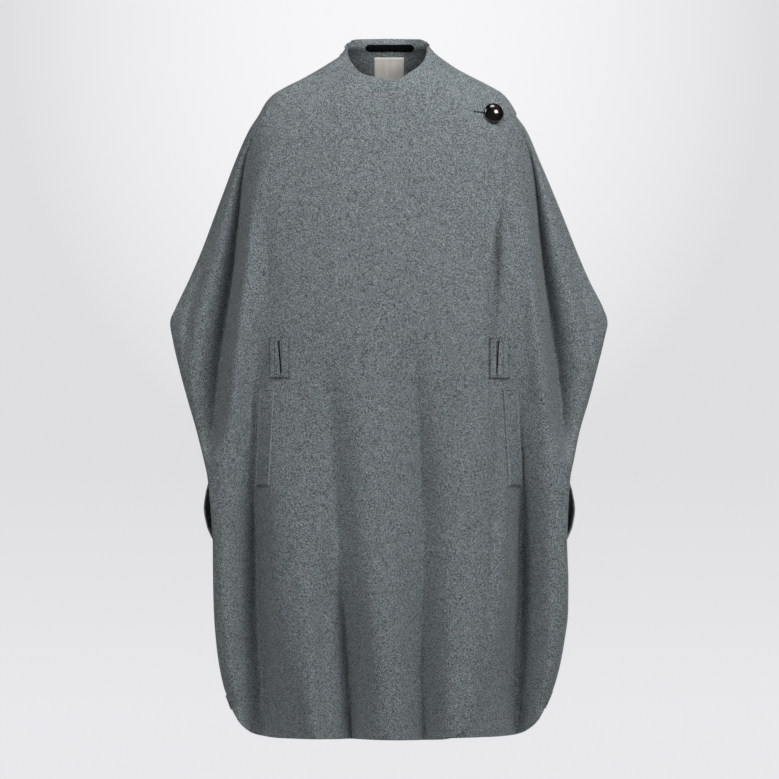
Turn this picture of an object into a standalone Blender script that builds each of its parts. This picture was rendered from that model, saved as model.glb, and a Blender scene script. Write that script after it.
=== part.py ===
"""Wool cape coat, hollow as worn: wrapped fronts, back halves, pockets, belt slots and shoulder button.

Metres, +Z up, the front faces -Y and the viewer's right is +X.
The origin is the middle of the neck base, where the wearer's shoulders hold the coat.
Heights are given as drops: the distance below the origin.
"""
import math
from collections import namedtuple

import bmesh
import bpy
from mathutils import Matrix, Vector
from mathutils.bvhtree import BVHTree

# Driving dimensions

MM = 0.001
CLOTH = 2.4 * MM
SEAM_GAP = 0.3 * MM
LAYER_GAP = 0.45 * MM
PATCH_CLOTH = 1.6 * MM
PATCH_GAP = 0.5 * MM
WELT_GAP = 2.0 * MM

# Outline of the coat seen from the front: half width to each side of the middle, in millimetres
Outline = namedtuple("Outline", "drop left right")
OUTLINE = [
    Outline(-24, 67.5, 62.5),
    Outline(-11, 76.5, 73.7),
    Outline(2, 95.5, 91),
    Outline(14, 115.3, 109),
    Outline(27, 138.3, 133.2),
    Outline(40, 164.5, 159),
    Outline(53, 185.7, 180.8),
    Outline(66, 197, 192.2),
    Outline(85, 207.7, 203.5),
    Outline(109, 223.1, 220.5),
    Outline(157, 244.6, 241.5),
    Outline(205, 262.9, 262.1),
    Outline(253, 281, 281.9),
    Outline(301, 299.1, 300.9),
    Outline(349, 320, 321.6),
    Outline(397, 342.9, 345.6),
    Outline(414, 349.8, 351),
    Outline(445, 345.1, 345),
    Outline(493, 334, 333),
    Outline(541, 321, 320.3),
    Outline(589, 307, 306),
    Outline(637, 295, 296),
    Outline(665, 289, 290.5),
    Outline(717, 284, 287),
    Outline(765, 281.5, 285.9),
    Outline(832, 280.8, 288),
    Outline(880, 279.5, 287.5),
    Outline(922, 276.5, 282.3),
    Outline(960, 271.8, 275.6),
    Outline(998, 263.9, 265.5),
    Outline(1024, 254.8, 254.8),
]

# How far the back's free side edge bows out past the front's, in millimetres
SideBow = namedtuple("SideBow", "drop out")
SIDE_BOW = [
    SideBow(414, 0),
    SideBow(470, -4),
    SideBow(620, -5),
    SideBow(665, -1),
    SideBow(690, 7),
    SideBow(717, 12),
    SideBow(742, 9),
    SideBow(765, 0),
]

# Cross sections in millimetres: where the mesh's side zone ends, where the crease between body and
# cape wing lies, how softly the body rolls into it, the share of the way in at which the wing
# stands highest, and for front and back the depth in the middle and in the crease, the swell of
# the wing outside the crease, and how far the side edge stands from the side plane
Section = namedtuple(
    "Section",
    "drop zone crease roll peak front front_crease front_swell front_edge "
    "back back_crease back_swell back_edge")
SECTIONS = [
    Section(-24, 58, 58, 40, 0.5, 62, 26, 0, 0, 50, 24, 0, 0),
    Section(5, 84, 84, 60, 0.5, 74, 46, 0, 0, 58, 38, 0, 0),
    Section(36, 142, 142, 80, 0.5, 86, 53, 0, 0, 70, 43, 0, 0),
    Section(68, 182, 182, 86, 0.5, 95, 57, 0, 0, 80, 46, 0, 0),
    Section(97, 201, 203, 70, 0.5, 100, 54, 0, 0, 87, 46, 0, 0),
    Section(130, 218, 220, 50, 0.5, 105, 40, 2, 0, 94, 41, 1, 0),
    Section(170, 230, 231, 36, 0.5, 110, 24, 11, 0, 100, 32, 4, 0),
    Section(240, 239, 239, 29, 0.55, 116, 18, 21, 0, 106, 25, 10, 0),
    Section(310, 246, 246, 27, 0.58, 121, 14, 27, 0, 109, 22, 15, 0),
    Section(385, 256, 256, 27, 0.6, 124, 12, 31, 0, 110, 21, 19, 0),
    Section(414, 260, 260, 27, 0.6, 124, 12, 32, 0, 110, 22, 20, 0),
    Section(445, 263, 263, 27, 0.5, 124, 13, 30, 10, 110, 24, 18, 10),
    Section(510, 268, 271, 28, 0.4, 123, 16, 24, 24, 111, 32, 12, 26),
    Section(580, 252, 278, 30, 0.35, 122, 32, 10, 34, 112, 44, 5, 40),
    Section(635, 240, 288, 30, 0.35, 122, 60, 0, 50, 113, 58, 0, 46),
    Section(675, 235, 300, 29, 0.35, 122, 70, 0, 58, 114, 64, 0, 44),
    Section(712, 233, 300, 28, 0.35, 122, 72, 0, 52, 115, 64, 0, 38),
    Section(745, 232, 300, 28, 0.35, 122, 71, 0, 24, 115, 62, 0, 22),
    Section(765, 232, 300, 28, 0.35, 123, 70, 0, 0, 116, 60, 0, 0),
    Section(840, 231, 300, 28, 0.35, 124, 69, 0, 0, 117, 58, 0, 0),
    Section(920, 228, 300, 28, 0.35, 126, 65, 0, 2, 119, 55, 0, 2),
    Section(1006, 222, 300, 26, 0.35, 125, 57, 0, 9, 119, 49, 0, 9),
    Section(1083, 218, 300, 24, 0.35, 120, 48, 0, 14, 115, 44, 0, 14),
]
# How much the body curves back between its middle and its sides, the distance at which that
# ends, the shapes of both curves, and the least width of the turn at the side edge
BODY_CURVE = 0.34
BODY_HALF = 214
BODY_POWER = 2.4
ROLL_POWER = 2.2
EDGE_TURN = 4

# The deep side valleys, which open from the pockets to the hem: distance from the middle, depth,
# and width toward the middle and toward the side, in millimetres; the back's are shallower
Valley = namedtuple("Valley", "drop x depth inner outer")
VALLEYS = [
    Valley(410, 198, 0, 22, 26),
    Valley(480, 204, 8, 24, 28),
    Valley(541, 210, 14, 24, 32),
    Valley(600, 211, 20, 27, 38),
    Valley(653, 213, 27, 29, 44),
    Valley(685, 213, 34, 29, 48),
    Valley(720, 212, 43, 30, 51),
    Valley(750, 211, 49, 30, 53),
    Valley(800, 211, 55, 32, 55),
    Valley(845, 210, 58, 35, 57),
    Valley(900, 208, 60, 42, 60),
    Valley(950, 206, 62, 54, 62),
    Valley(1010, 203, 62, 74, 62),
    Valley(1083, 203, 60, 90, 60),
]
BACK_VALLEY_SHARE = 0.6

# Soft folds: their path as three points, widths to the left and right and height out of the
# cloth, all in millimetres; a fold swells from nothing at its first point and runs full from the
# second one on, and a closing one dies away again at its last point; troughs are sharper than
# ridges, and those named under lie in the under front alone
Fold = namedtuple("Fold", "side x_top top x_mid mid x_low low left right height closes")
FOLDS = [
    Fold("front", -206, 150, -236, 445, -270, 700, 28, 22, 9, True),
    Fold("front", 206, 150, 240, 470, 270, 700, 22, 28, 9, True),
    Fold("front", -292, 300, -320, 410, -328, 520, 12, 16, -9, True),
    Fold("front", 292, 300, 318, 410, 328, 520, 16, 12, -9, True),
    Fold("front", -104, 400, -84, 690, -60, 1083, 36, 50, -22, False),
    Fold("front", -82, 770, -61, 970, -58, 1083, 62, 52, -46, False),
    Fold("front", 36, 380, 57, 720, 58, 1083, 64, 44, -34, False),
    Fold("front", -112, 590, -104, 880, -98, 1083, 30, 26, -16, False),
    Fold("front", 54, 780, 54, 980, 54, 1083, 62, 56, -16, False),
    Fold("front", 212, 560, 214, 740, 208, 1083, 34, 48, -12, False),
    Fold("front", -166, 540, -153, 790, -110, 1050, 42, 42, 8, False),
    Fold("front", -42, 400, -30, 740, 20, 1050, 48, 44, 8, False),
    Fold("front", 98, 260, 137, 620, 118, 1050, 52, 40, 10, False),
    Fold("front", -195, 200, -193, 330, -190, 460, 26, 22, -6, True),
    Fold("under", 174, 230, 170, 320, 172, 620, 44, 26, -20, True),
    Fold("under", 186, 470, 188, 600, 198, 740, 32, 30, -12, True),
    Fold("back", -214, 160, -238, 406, -268, 660, 26, 22, 7, True),
    Fold("back", 212, 150, 240, 390, 268, 650, 22, 26, 7, True),
    Fold("back", -128, 420, -118, 760, -110, 1083, 60, 70, -20, False),
    Fold("back", 112, 360, 122, 720, 134, 1083, 74, 58, -22, False),
    Fold("back", -56, 560, -44, 800, -36, 1083, 52, 52, 9, False),
    Fold("back", 34, 300, 44, 640, 52, 1083, 54, 54, 8, False),
    Fold("back", -8, 90, -6, 260, -4, 520, 60, 60, -6, True),
]
# How much rounder than a sharp crease a trough and a valley are, and the outer share of a wing in
# which folds fade
TROUGH_ROUNDING = 0.6
VALLEY_ROUNDING = 0.7
WING_FADE = 0.2

# Mesh rows: drop of a row at the side outline, at the inner edges of the side zones and in the
# middle of the front and of the back, and how far the row has bent to the hem's curve
Row = namedtuple("Row", "end knee front_mid back_mid hem")
ROWS = [
    Row(-24, -24, 37, -38, 0),
    Row(-10, 27, 53, -20, 0),
    Row(5, 50, 67, 0, 0),
    Row(20, 66, 81, 20, 0),
    Row(36, 82, 95, 40, 0),
    Row(52, 97, 108, 60, 0),
    Row(68, 112, 120, 80, 0),
    Row(83, 125, 131, 98, 0),
    Row(105, 146, 151, 120, 0),
    Row(132, 169, 173, 145, 0),
    Row(164, 196, 199, 175, 0),
    Row(198, 225, 228, 206, 0),
    Row(234, 255, 258, 240, 0),
    Row(272, 288, 290, 276, 0),
    Row(312, 322, 324, 314, 0),
    Row(350, 356, 357, 351, 0),
    Row(385, 388, 388, 385, 0),
    Row(414, 415, 415, 414, 0),
    Row(445, 445, 445, 445, 0),
    Row(480, 480, 480, 480, 0),
    Row(516, 516, 516, 516, 0),
    Row(552, 552, 552, 552, 0),
    Row(588, 588, 588, 588, 0),
    Row(618, 618, 618, 618, 0),
    Row(645, 645, 645, 645, 0),
    Row(672, 672, 672, 672, 0),
    Row(696, 696, 696, 696, 0),
    Row(719, 719, 719, 719, 0),
    Row(742, 742, 742, 742, 0),
    Row(765, 765, 765, 765, 0),
    Row(800, 800, 800, 800, 0),
    Row(840, 840, 840, 840, 0),
    Row(880, 880, 880, 880, 0),
    Row(920, 920, 920, 920, 0),
    Row(955, 955, 955, 955, 0.2),
    Row(985, 985, 985, 985, 0.45),
    Row(1006, 1006, 1006, 1006, 0.75),
    Row(1024, 1024, 1024, 1024, 1),
]

# The neckline: drop of the rim at each distance from the middle
Rim = namedtuple("Rim", "x drop")
FRONT_RIM = [
    Rim(-67.5, -24), Rim(-65, -9), Rim(-60, 2.5), Rim(-52, 12.5), Rim(-41, 20.5), Rim(-29, 24.5),
    Rim(-7, 28.5), Rim(12, 32.5), Rim(20, 30), Rim(26, 25), Rim(38, 17), Rim(49, 9), Rim(57, -1),
    Rim(61, -12), Rim(62.5, -24),
]
BACK_RIM = [
    Rim(-67.5, -24), Rim(-64, -30.5), Rim(-57, -35), Rim(-48, -36), Rim(0, -36.5), Rim(50, -36),
    Rim(57, -34), Rim(61, -29.5), Rim(62.5, -24),
]
# How far the over front's rim lies below the under front's, and the widths over which it falls:
# from the middle of the neck, and from the hidden edge
OVER_RIM_DROP = 4 * MM
OVER_RIM_BLEND = 30 * MM
HIDDEN_RIM_BLEND = 12 * MM

# Inner edges of the side zones: the under front's hidden edge, and the over front's free edge
Edge = namedtuple("Edge", "drop x")
HIDDEN_EDGE = [
    Edge(10, -54), Edge(27, -64), Edge(50, -74), Edge(80, -78), Edge(400, -78), Edge(1083, -76),
]
FREE_EDGE = [
    Edge(6, 53), Edge(27, 64), Edge(50, 80), Edge(66, 104), Edge(82, 132), Edge(97, 158),
    Edge(112, 176), Edge(125, 188), Edge(157, 184.8), Edge(205, 184), Edge(240, 178.4),
    Edge(274, 167), Edge(304, 163), Edge(333, 159), Edge(368, 156), Edge(440, 156),
    Edge(506, 157.6), Edge(786, 157.6), Edge(861, 149), Edge(904, 149.5), Edge(976, 145),
    Edge(1019, 140), Edge(1083, 136),
]

# The hem: drop at each distance from the middle, with round corners at the sides, and the over
# front's own round corner at its free edge
SIDE_HEM = [
    Rim(0, 1080.5), Rim(120, 1080.3), Rim(150, 1080), Rim(176, 1079.5), Rim(199, 1077),
    Rim(216, 1072), Rim(229, 1063), Rim(240, 1051), Rim(248, 1038.5), Rim(254.8, 1020),
]
CORNER_HEM = [
    Rim(60, 1082), Rim(88, 1080.5), Rim(106, 1076), Rim(118, 1068), Rim(127, 1057),
    Rim(133, 1046), Rim(138, 1034),
]
UNDER_HEM_RISE = 2.5 * MM

# Columns in each zone across a front and in the body of a back half, how strongly they gather
# toward the outer side of their zone, the columns over which the over front rises from its
# hidden edge, and the rows in which it reaches the far shoulder
WING_COLUMNS = 6
BODY_COLUMNS = 7
WRAP_COLUMNS = 10
NEAR_COLUMNS = 5
BACK_COLUMNS = 8
WING_GATHER = 1.5
BODY_GATHER = 1.25
NEAR_GATHER = 1.1
BACK_GATHER = 1.15
BACK_ROW_POWER = 2.5
RISE_COLUMNS = 2
SHOULDER_ROWS = 7

# Belt slots, pockets, label and button, in millimetres
Strip = namedtuple("Strip", "x_top x_low drop_top drop_low width across along")
SLOT_PATCHES = {
    "slot_patch_left": Strip(-173, -173, 440, 505, 32, 6, 10),
    "slot_patch_right": Strip(176.2, 176.2, 441, 506, 32, 6, 10),
}
WELTS = {
    "welt_left": Strip(-191.8, -199.2, 523, 678, 20.5, 6, 22),
    "welt_right": Strip(192.8, 201.6, 523, 678, 20.5, 6, 22),
}
SLOT_LENGTH = 52 * MM
SLOT_WIDTH = 2.6 * MM
SLOT_CUT = 30 * MM
SLOTS = {
    "left": (-175.2 * MM, -171.4 * MM),
    "right": (175.4 * MM, 172.4 * MM),
}
SLOT_TOP = 446 * MM
TAPE = Strip(2, 2, -28.5, -18, 78, 14, 2)
TAPE_ROUNDING = 5
LABEL = Strip(1, 1, -8, 38, 47, 8, 6)
LABEL_CLOTH = 1.0 * MM
BUTTON_PLACE = (166.2 * MM, 84.6 * MM)
BUTTON_AXIS = Vector((0.30, -0.91, 0.28)).normalized()
BUTTON_RADIUS = 16 * MM
BUTTON_BACK_RADIUS = 13.8 * MM
BUTTON_CHAMFER = 1.5 * MM
BUTTON_EDGE = 0.9 * MM
BUTTON_HEIGHT = 7 * MM
BUTTON_LIFT = 4.2 * MM
SHANK_RADIUS = 2.6 * MM
SHANK_GAP = 1.2 * MM
HOLE_RADIUS = 3.1 * MM
HOLE_LENGTH = 33 * MM
HOLE_WIDTH = 1.4 * MM
HOLE_CUT = 12 * MM
HOLE_STEPS = 12
BUTTON_SEGMENTS = 24
DOME_STEPS = 5

# Colours (linear) and finishes of the plain model
WOOL = ("wool", (0.150, 0.180, 0.190), 0.95)
TAPE_SATIN = ("black_tape", (0.006, 0.007, 0.008), 0.6)
LABEL_TWILL = ("label", (0.55, 0.51, 0.46), 0.8)
HORN = ("dark_horn", (0.018, 0.010, 0.009), 0.15)


def slopes(points):
    """Slopes of a curve through points that never overshoots them."""
    steps = [(b[1] - a[1]) / (b[0] - a[0]) for a, b in zip(points, points[1:])]
    inner = [0 if a * b <= 0 else 2 * a * b / (a + b) for a, b in zip(steps, steps[1:])]
    return [steps[0]] + inner + [steps[-1]]


def curve(table, value, key=None):
    """A function in metres through a table's column, both given in millimetres."""
    key = key or table[0]._fields[0]
    points = sorted((getattr(row, key) * MM, getattr(row, value) * MM) for row in table)
    tangents = slopes(points)

    def read(at):
        if at <= points[0][0]:
            return points[0][1]
        for index in range(len(points) - 1):
            (x0, y0), (x1, y1) = points[index], points[index + 1]
            if at <= x1:
                span = x1 - x0
                t = (at - x0) / span
                return (y0 * (1 + 2 * t) * (1 - t) ** 2 + y1 * t * t * (3 - 2 * t)
                        + span * t * (1 - t) * (tangents[index] * (1 - t) - tangents[index + 1] * t))
        return points[-1][1]
    return read


outline_left = curve(OUTLINE, "left")
outline_right = curve(OUTLINE, "right")
side_bow = curve(SIDE_BOW, "out")
zone_line = curve(SECTIONS, "zone")
crease_line = curve(SECTIONS, "crease")
peak_line = curve(SECTIONS, "peak")
roll_width = curve(SECTIONS, "roll")
front_rim = curve(FRONT_RIM, "drop")
back_rim = curve(BACK_RIM, "drop")
hidden_edge = curve(HIDDEN_EDGE, "x")
free_edge = curve(FREE_EDGE, "x")
side_hem = curve(SIDE_HEM, "drop")
corner_hem = curve(CORNER_HEM, "drop")
VALLEY_SHAPE = [curve(VALLEYS, name) for name in ("x", "depth", "inner", "outer")]
SHAPES = {
    side: [curve(SECTIONS, name) for name in (side, side + "_crease", side + "_swell", side + "_edge")]
    for side in ("front", "back")
}


def smooth(t):
    t = min(1, max(0, t))
    return t * t * (3 - 2 * t)


def half_width(side, x, drop):
    width = outline_left(drop) if x < 0 else outline_right(drop)
    return width + (side_bow(drop) if side == "back" else 0)


def fold_height(fold, x, drop):
    """How far one soft fold lifts the cloth at a place."""
    top, mid, low = fold.top * MM, fold.mid * MM, fold.low * MM
    if drop <= top or (fold.closes and drop >= low):
        return 0
    if drop < mid:
        t = (drop - top) / (mid - top)
        path = fold.x_top + (fold.x_mid - fold.x_top) * t
        swell = smooth(t)
    else:
        t = min(1, (drop - mid) / (low - mid))
        path = fold.x_mid + (fold.x_low - fold.x_mid) * t
        swell = 1 - smooth(t) if fold.closes else 1
    off = (x - path * MM) / (fold.left if x < path * MM else fold.right) / MM
    if abs(off) >= 1:
        return 0
    profile = (1 - off * off) ** 2
    if fold.height < 0:
        profile = (1 - abs(off)) ** 2 * (1 + TROUGH_ROUNDING * abs(off))
    return fold.height * MM * swell * profile


def valley_depth(side, across, drop):
    """How deep the side valley is at a distance from the middle."""
    x, deep, inner, outer = [read(drop) for read in VALLEY_SHAPE]
    off = abs(across - x) / (inner if across < x else outer)
    if off >= 1:
        return 0
    profile = (1 - off) ** 2 * (1 + VALLEY_ROUNDING * off)
    return deep * profile * (BACK_VALLEY_SHARE if side == "back" else 1)


def depth(side, x, drop):
    """Distance of the cloth's outer face from the side plane of the coat."""
    face = "back" if side == "back" else "front"
    middle, in_crease, swell, at_edge = [read(drop) for read in SHAPES[face]]
    width = half_width(face, x, drop)
    crease = min(crease_line(drop), width - EDGE_TURN * MM)
    across = abs(x)
    if across >= width:
        return at_edge
    folds = sum(fold_height(fold, x, drop) for fold in FOLDS if fold.side in (face, side))
    if across <= crease:
        half = min(crease, BODY_HALF * MM)
        flat = middle * (1 - BODY_CURVE * min(1, across / half) ** BODY_POWER)
        flat -= valley_depth(face, across, drop)
        roll = 1 - max(0, 1 - (crease - across) / roll_width(drop)) ** ROLL_POWER
        return in_crease + (flat - in_crease) * roll + folds
    t = (width - across) / (width - crease)
    arch = math.sqrt(1 - (1 - t) ** 2)
    hump = math.sin(math.pi * t ** (math.log(0.5) / math.log(peak_line(drop) / MM)))
    return at_edge + (in_crease - at_edge) * arch + swell * hump + folds * smooth(t / WING_FADE)


def place(side, x, drop):
    """Point of the outer face; the two sides keep a seam's gap between them."""
    away = max(depth(side, x, drop), SEAM_GAP / 2)
    return Vector((x, away if side == "back" else -away, -drop))


def hem_curve(x, over):
    """Drop of the hem; the over front also turns up round its own corner."""
    drop = side_hem(abs(x))
    if over and x > CORNER_HEM[0].x * MM:
        return corner_hem(x)
    if over:
        return drop + (CORNER_HEM[0].drop * MM - side_hem(CORNER_HEM[0].x * MM)) * smooth(
            (x - hidden_edge(drop)) / (CORNER_HEM[0].x * MM - hidden_edge(drop)))
    return drop - UNDER_HEM_RISE * smooth(x / (CORNER_HEM[-1].x * MM))


def spread(start, end, count, power):
    """Fractions between two lines, closer together near the start where power is above one."""
    return [start + (end - start) * (step / count) ** power for step in range(count + 1)]


def front_row(index, over):
    """The places (x, drop) of one mesh row across the whole front, zone by zone."""
    row = ROWS[index]
    end, knee, mid = row.end * MM, row.knee * MM, row.front_mid * MM
    left, right = -outline_left(end), outline_right(end)
    crease_drop = end + (knee - end) / 3
    crease = zone_line(crease_drop)
    free_drop = knee + (CORNER_HEM[-1].drop * MM - knee) * row.hem if row.hem else knee
    hidden = hidden_edge(knee)
    free = free_edge(free_drop)
    if index == 0:
        crease = zone_line(end)
        hidden, free = HIDDEN_EDGE[0].x * MM, FREE_EDGE[0].x * MM
    stops = [(left, end), (-crease, crease_drop), (hidden, knee), (free, knee),
             (crease, crease_drop), (right, end)]
    zones = [(WING_COLUMNS, WING_GATHER, False), (BODY_COLUMNS, BODY_GATHER, False),
             (WRAP_COLUMNS, 1, False), (NEAR_COLUMNS, NEAR_GATHER, True),
             (WING_COLUMNS, WING_GATHER, True)]
    places = []
    for zone, (count, power, closes) in enumerate(zones):
        (x0, d0), (x1, d1) = stops[zone], stops[zone + 1]
        shares = spread(0, 1, count, power)
        if closes:
            shares = [1 - share for share in reversed(shares)]
        for share in shares[0 if zone == 0 else 1:]:
            x = x0 + (x1 - x0) * share
            drop = d0 + (d1 - d0) * share
            if zone == 2:
                drop += (mid - knee) * rim_share(x, hidden, free)
            places.append((x, drop))
    if index == 0:
        lower = OVER_RIM_DROP if over else 0
        places = [(x, front_rim(x) + lower * smooth(-x / OVER_RIM_BLEND)
                   * smooth((x - hidden) / HIDDEN_RIM_BLEND)) for x, _ in places]
    if row.hem:
        wide = SIDE_HEM[-1].x * MM
        scale = wide / max(-left, right)
        base = ROWS[-1].end * MM
        places = [(x, drop + row.hem * (hem_curve(x * scale, over and x <= free) - base))
                  for x, drop in places]
    return places


def rim_share(x, low, high):
    """Share of the neckline's dip at a place between the two side zones, 0 at both ends."""
    left, right = HIDDEN_EDGE[0].x * MM, FREE_EDGE[0].x * MM
    at = left + (right - left) * (x - low) / (high - low)
    ends = front_rim(left) + (front_rim(right) - front_rim(left)) * (x - low) / (high - low)
    lowest = max(rim.drop for rim in FRONT_RIM) * MM
    return (front_rim(at) - ends) / (lowest - ends)


def back_row(index, sign):
    """The places (x, drop) of one mesh row of a back half, from the side to the middle seam."""
    row = ROWS[index]
    end, mid = row.end * MM, row.back_mid * MM
    width = half_width("back", sign, end)
    crease = zone_line(end)
    middle = SEAM_GAP / 2
    across = spread(width, crease, WING_COLUMNS, WING_GATHER)
    across += spread(crease, middle, BACK_COLUMNS, BACK_GATHER)[1:]
    places = []
    for x in across:
        share = x / width
        drop = end + (mid - end) * (1 - share ** BACK_ROW_POWER)
        if index == 0:
            drop = back_rim(sign * x)
        if row.hem:
            wide = SIDE_HEM[-1].x * MM
            drop += row.hem * (side_hem(x * wide / width) - ROWS[-1].end * MM)
        places.append((sign * x, drop))
    return places


def side_is_sewn(drop):
    return SHAPES["front"][3](drop) < SEAM_GAP


class Sheet:
    """A grid of points on the cloth's outer face with their outward normals."""

    def __init__(self, side, rows, outer_columns, middle_columns=()):
        self.side = side
        self.rows = rows
        self.points = [[place(side, x, drop) for x, drop in row] for row in rows]
        self.normals = [[self.normal(i, j) for j in range(len(rows[i]))] for i in range(len(rows))]
        for j in outer_columns:
            self.flatten(j)
        for j in middle_columns:
            for i, row in enumerate(self.normals):
                row[j] = Vector((0, row[j].y, row[j].z)).normalized()

    def normal(self, i, j):
        up = self.points[max(0, i - 1)][j]
        down = self.points[min(len(self.points) - 1, i + 1)][j]
        before = self.points[i][max(0, j - 1)]
        after = self.points[i][min(len(self.points[i]) - 1, j + 1)]
        normal = (after - before).cross(up - down)
        if normal.length < 1e-12:
            normal = Vector((0, -1, 0))
        normal.normalize()
        facing = 1 if self.side == "back" else -1
        if (self.rows[i][-1][0] - self.rows[i][0][0]) * facing > 0:
            normal = -normal
        return normal if normal.y * facing > -0.2 else -normal

    def flatten(self, j):
        """Seam ends face straight out in the side plane, so front and back meet squarely."""
        for i, row in enumerate(self.normals):
            if not side_is_sewn(-self.points[i][j].z):
                continue
            up = self.points[max(0, i - 1)][j]
            down = self.points[min(len(self.points) - 1, i + 1)][j]
            along = up - down
            out = Vector((along.z, 0, -along.x)).normalized()
            if out.x * self.points[i][j].x < 0:
                out = -out
            row[j] = out

    def lifted(self, lifts):
        """The same sheet moved out along its normals, by column."""
        return [[point + normal * lifts[j] for j, (point, normal) in enumerate(zip(points, normals))]
                for points, normals in zip(self.points, self.normals)]


def shell(name, outer, inner, cells, look):
    """A closed cloth wall from two matching grids of points and the cells that it covers."""
    mesh = bmesh.new()
    used = sorted({corner for i, j in cells for corner in ((i, j), (i, j + 1), (i + 1, j), (i + 1, j + 1))})
    out_verts = {spot: mesh.verts.new(outer[spot[0]][spot[1]]) for spot in used}
    in_verts = {spot: mesh.verts.new(inner[spot[0]][spot[1]]) for spot in used}
    chosen = set(cells)
    for i, j in cells:
        ring = [(i, j), (i + 1, j), (i + 1, j + 1), (i, j + 1)]
        for half in ((0, 1, 2), (0, 2, 3)):
            mesh.faces.new([out_verts[ring[k]] for k in half])
            mesh.faces.new([in_verts[ring[k]] for k in reversed(half)])
        borders = [((i, j - 1), ring[0], ring[1]), ((i + 1, j), ring[1], ring[2]),
                   ((i, j + 1), ring[2], ring[3]), ((i - 1, j), ring[3], ring[0])]
        for neighbour, a, b in borders:
            if neighbour not in chosen:
                mesh.faces.new([out_verts[b], out_verts[a], in_verts[a], in_verts[b]])
    bmesh.ops.recalc_face_normals(mesh, faces=mesh.faces)
    return finish(name, mesh, look)


def finish(name, mesh, look):
    data = bpy.data.meshes.new(name)
    mesh.to_mesh(data)
    mesh.free()
    data.shade_smooth()
    data.set_sharp_from_angle(angle=math.radians(50))
    data.materials.append(material(*look))
    item = bpy.data.objects.new(name, data)
    bpy.context.collection.objects.link(item)
    return item


def material(name, colour, roughness):
    made = bpy.data.materials.get(name)
    if made is None:
        made = bpy.data.materials.new(name)
        made.use_nodes = True
        shader = made.node_tree.nodes["Principled BSDF"]
        shader.inputs["Base Color"].default_value = (*colour, 1)
        shader.inputs["Roughness"].default_value = roughness
    return made


class Skin:
    """One face of a wall, for placing the pieces that lie on it; found from a plane before it."""

    def __init__(self, grids, plane_y):
        verts = []
        faces = []
        for grid in grids:
            start = len(verts)
            wide = len(grid[0])
            verts += [point for row in grid for point in row]
            for i in range(len(grid) - 1):
                for j in range(wide - 1):
                    a = start + i * wide + j
                    faces.append((a, a + wide, a + wide + 1))
                    faces.append((a, a + wide + 1, a + 1))
        self.tree = BVHTree.FromPolygons(verts, faces)
        self.plane_y = plane_y

    def find(self, x, drop):
        for nudge in (0, SEAM_GAP, -SEAM_GAP):
            start = Vector((x + nudge, self.plane_y, -drop))
            hit = self.tree.ray_cast(start, Vector((0, 1, 0)))
            if hit[0] is not None:
                return Vector((x, hit[0].y, -drop))
        return None

    def point(self, x, drop):
        found = self.find(x, drop)
        if found is None:
            raise ValueError(f"no cloth at {x:.3f}, {drop:.3f}")
        return found

    def normal(self, x, drop, reach=7 * MM):
        """The skin's lean round a place, toward the front; past its rim the place itself counts."""
        here = self.point(x, drop)
        right, left, up, down = [
            self.find(x + dx, drop + dd) or here
            for dx, dd in ((reach, 0), (-reach, 0), (0, -reach), (0, reach))]
        normal = (right - left).cross(up - down).normalized()
        return normal if normal.y < 0 else -normal


def strip_on(name, skin, strip, thickness, look, rounding=0, gaps=(PATCH_GAP, PATCH_GAP)):
    """A flat piece on a skin, made from its points moved out by the gaps at its left and right edges."""
    outer = []
    inner = []
    for i in range(strip.along + 1):
        t = i / strip.along
        middle = strip.x_top + (strip.x_low - strip.x_top) * t
        drop = (strip.drop_top + (strip.drop_low - strip.drop_top) * t) * MM
        width = strip.width - 2 * rounding * (2 * t - 1) ** 2
        row_out = []
        row_in = []
        for j in range(strip.across + 1):
            x = (middle + width * (j / strip.across - 0.5)) * MM
            point = skin.point(x, drop)
            normal = skin.normal(x, drop)
            gap = gaps[0] + (gaps[1] - gaps[0]) * j / strip.across
            row_in.append(point + normal * gap)
            row_out.append(point + normal * (gap + thickness))
        outer.append(row_out)
        inner.append(row_in)
    cells = [(i, j) for i in range(strip.along) for j in range(strip.across)]
    return shell(name, outer, inner, cells, look)


def box_cutter(name, centre, size, turn):
    """A hidden block that cuts a slit; its long side runs along its own Z."""
    mesh = bmesh.new()
    bmesh.ops.create_cube(mesh, size=1, matrix=Matrix.Diagonal((*size, 1)))
    return hide_cutter(name, mesh, Matrix.Translation(centre) @ turn)


def hide_cutter(name, mesh, matrix):
    bmesh.ops.transform(mesh, matrix=matrix, verts=mesh.verts)
    data = bpy.data.meshes.new(name)
    mesh.to_mesh(data)
    mesh.free()
    cutter = bpy.data.objects.new(name, data)
    bpy.context.collection.objects.link(cutter)
    cutter.hide_render = True
    cutter.display_type = "WIRE"
    return cutter


def cut(item, cutter):
    modifier = item.modifiers.new("cut", "BOOLEAN")
    modifier.operation = "DIFFERENCE"
    modifier.object = cutter


def slot_cutter(name, skin, x_top, x_low):
    top = skin.point(x_top, SLOT_TOP)
    low = skin.point(x_low, SLOT_TOP + SLOT_LENGTH)
    lean = Matrix.Rotation(math.atan2(x_top - x_low, SLOT_LENGTH), 4, "Y")
    return box_cutter(name, (top + low) / 2, (SLOT_WIDTH, SLOT_CUT, SLOT_LENGTH), lean)


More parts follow.
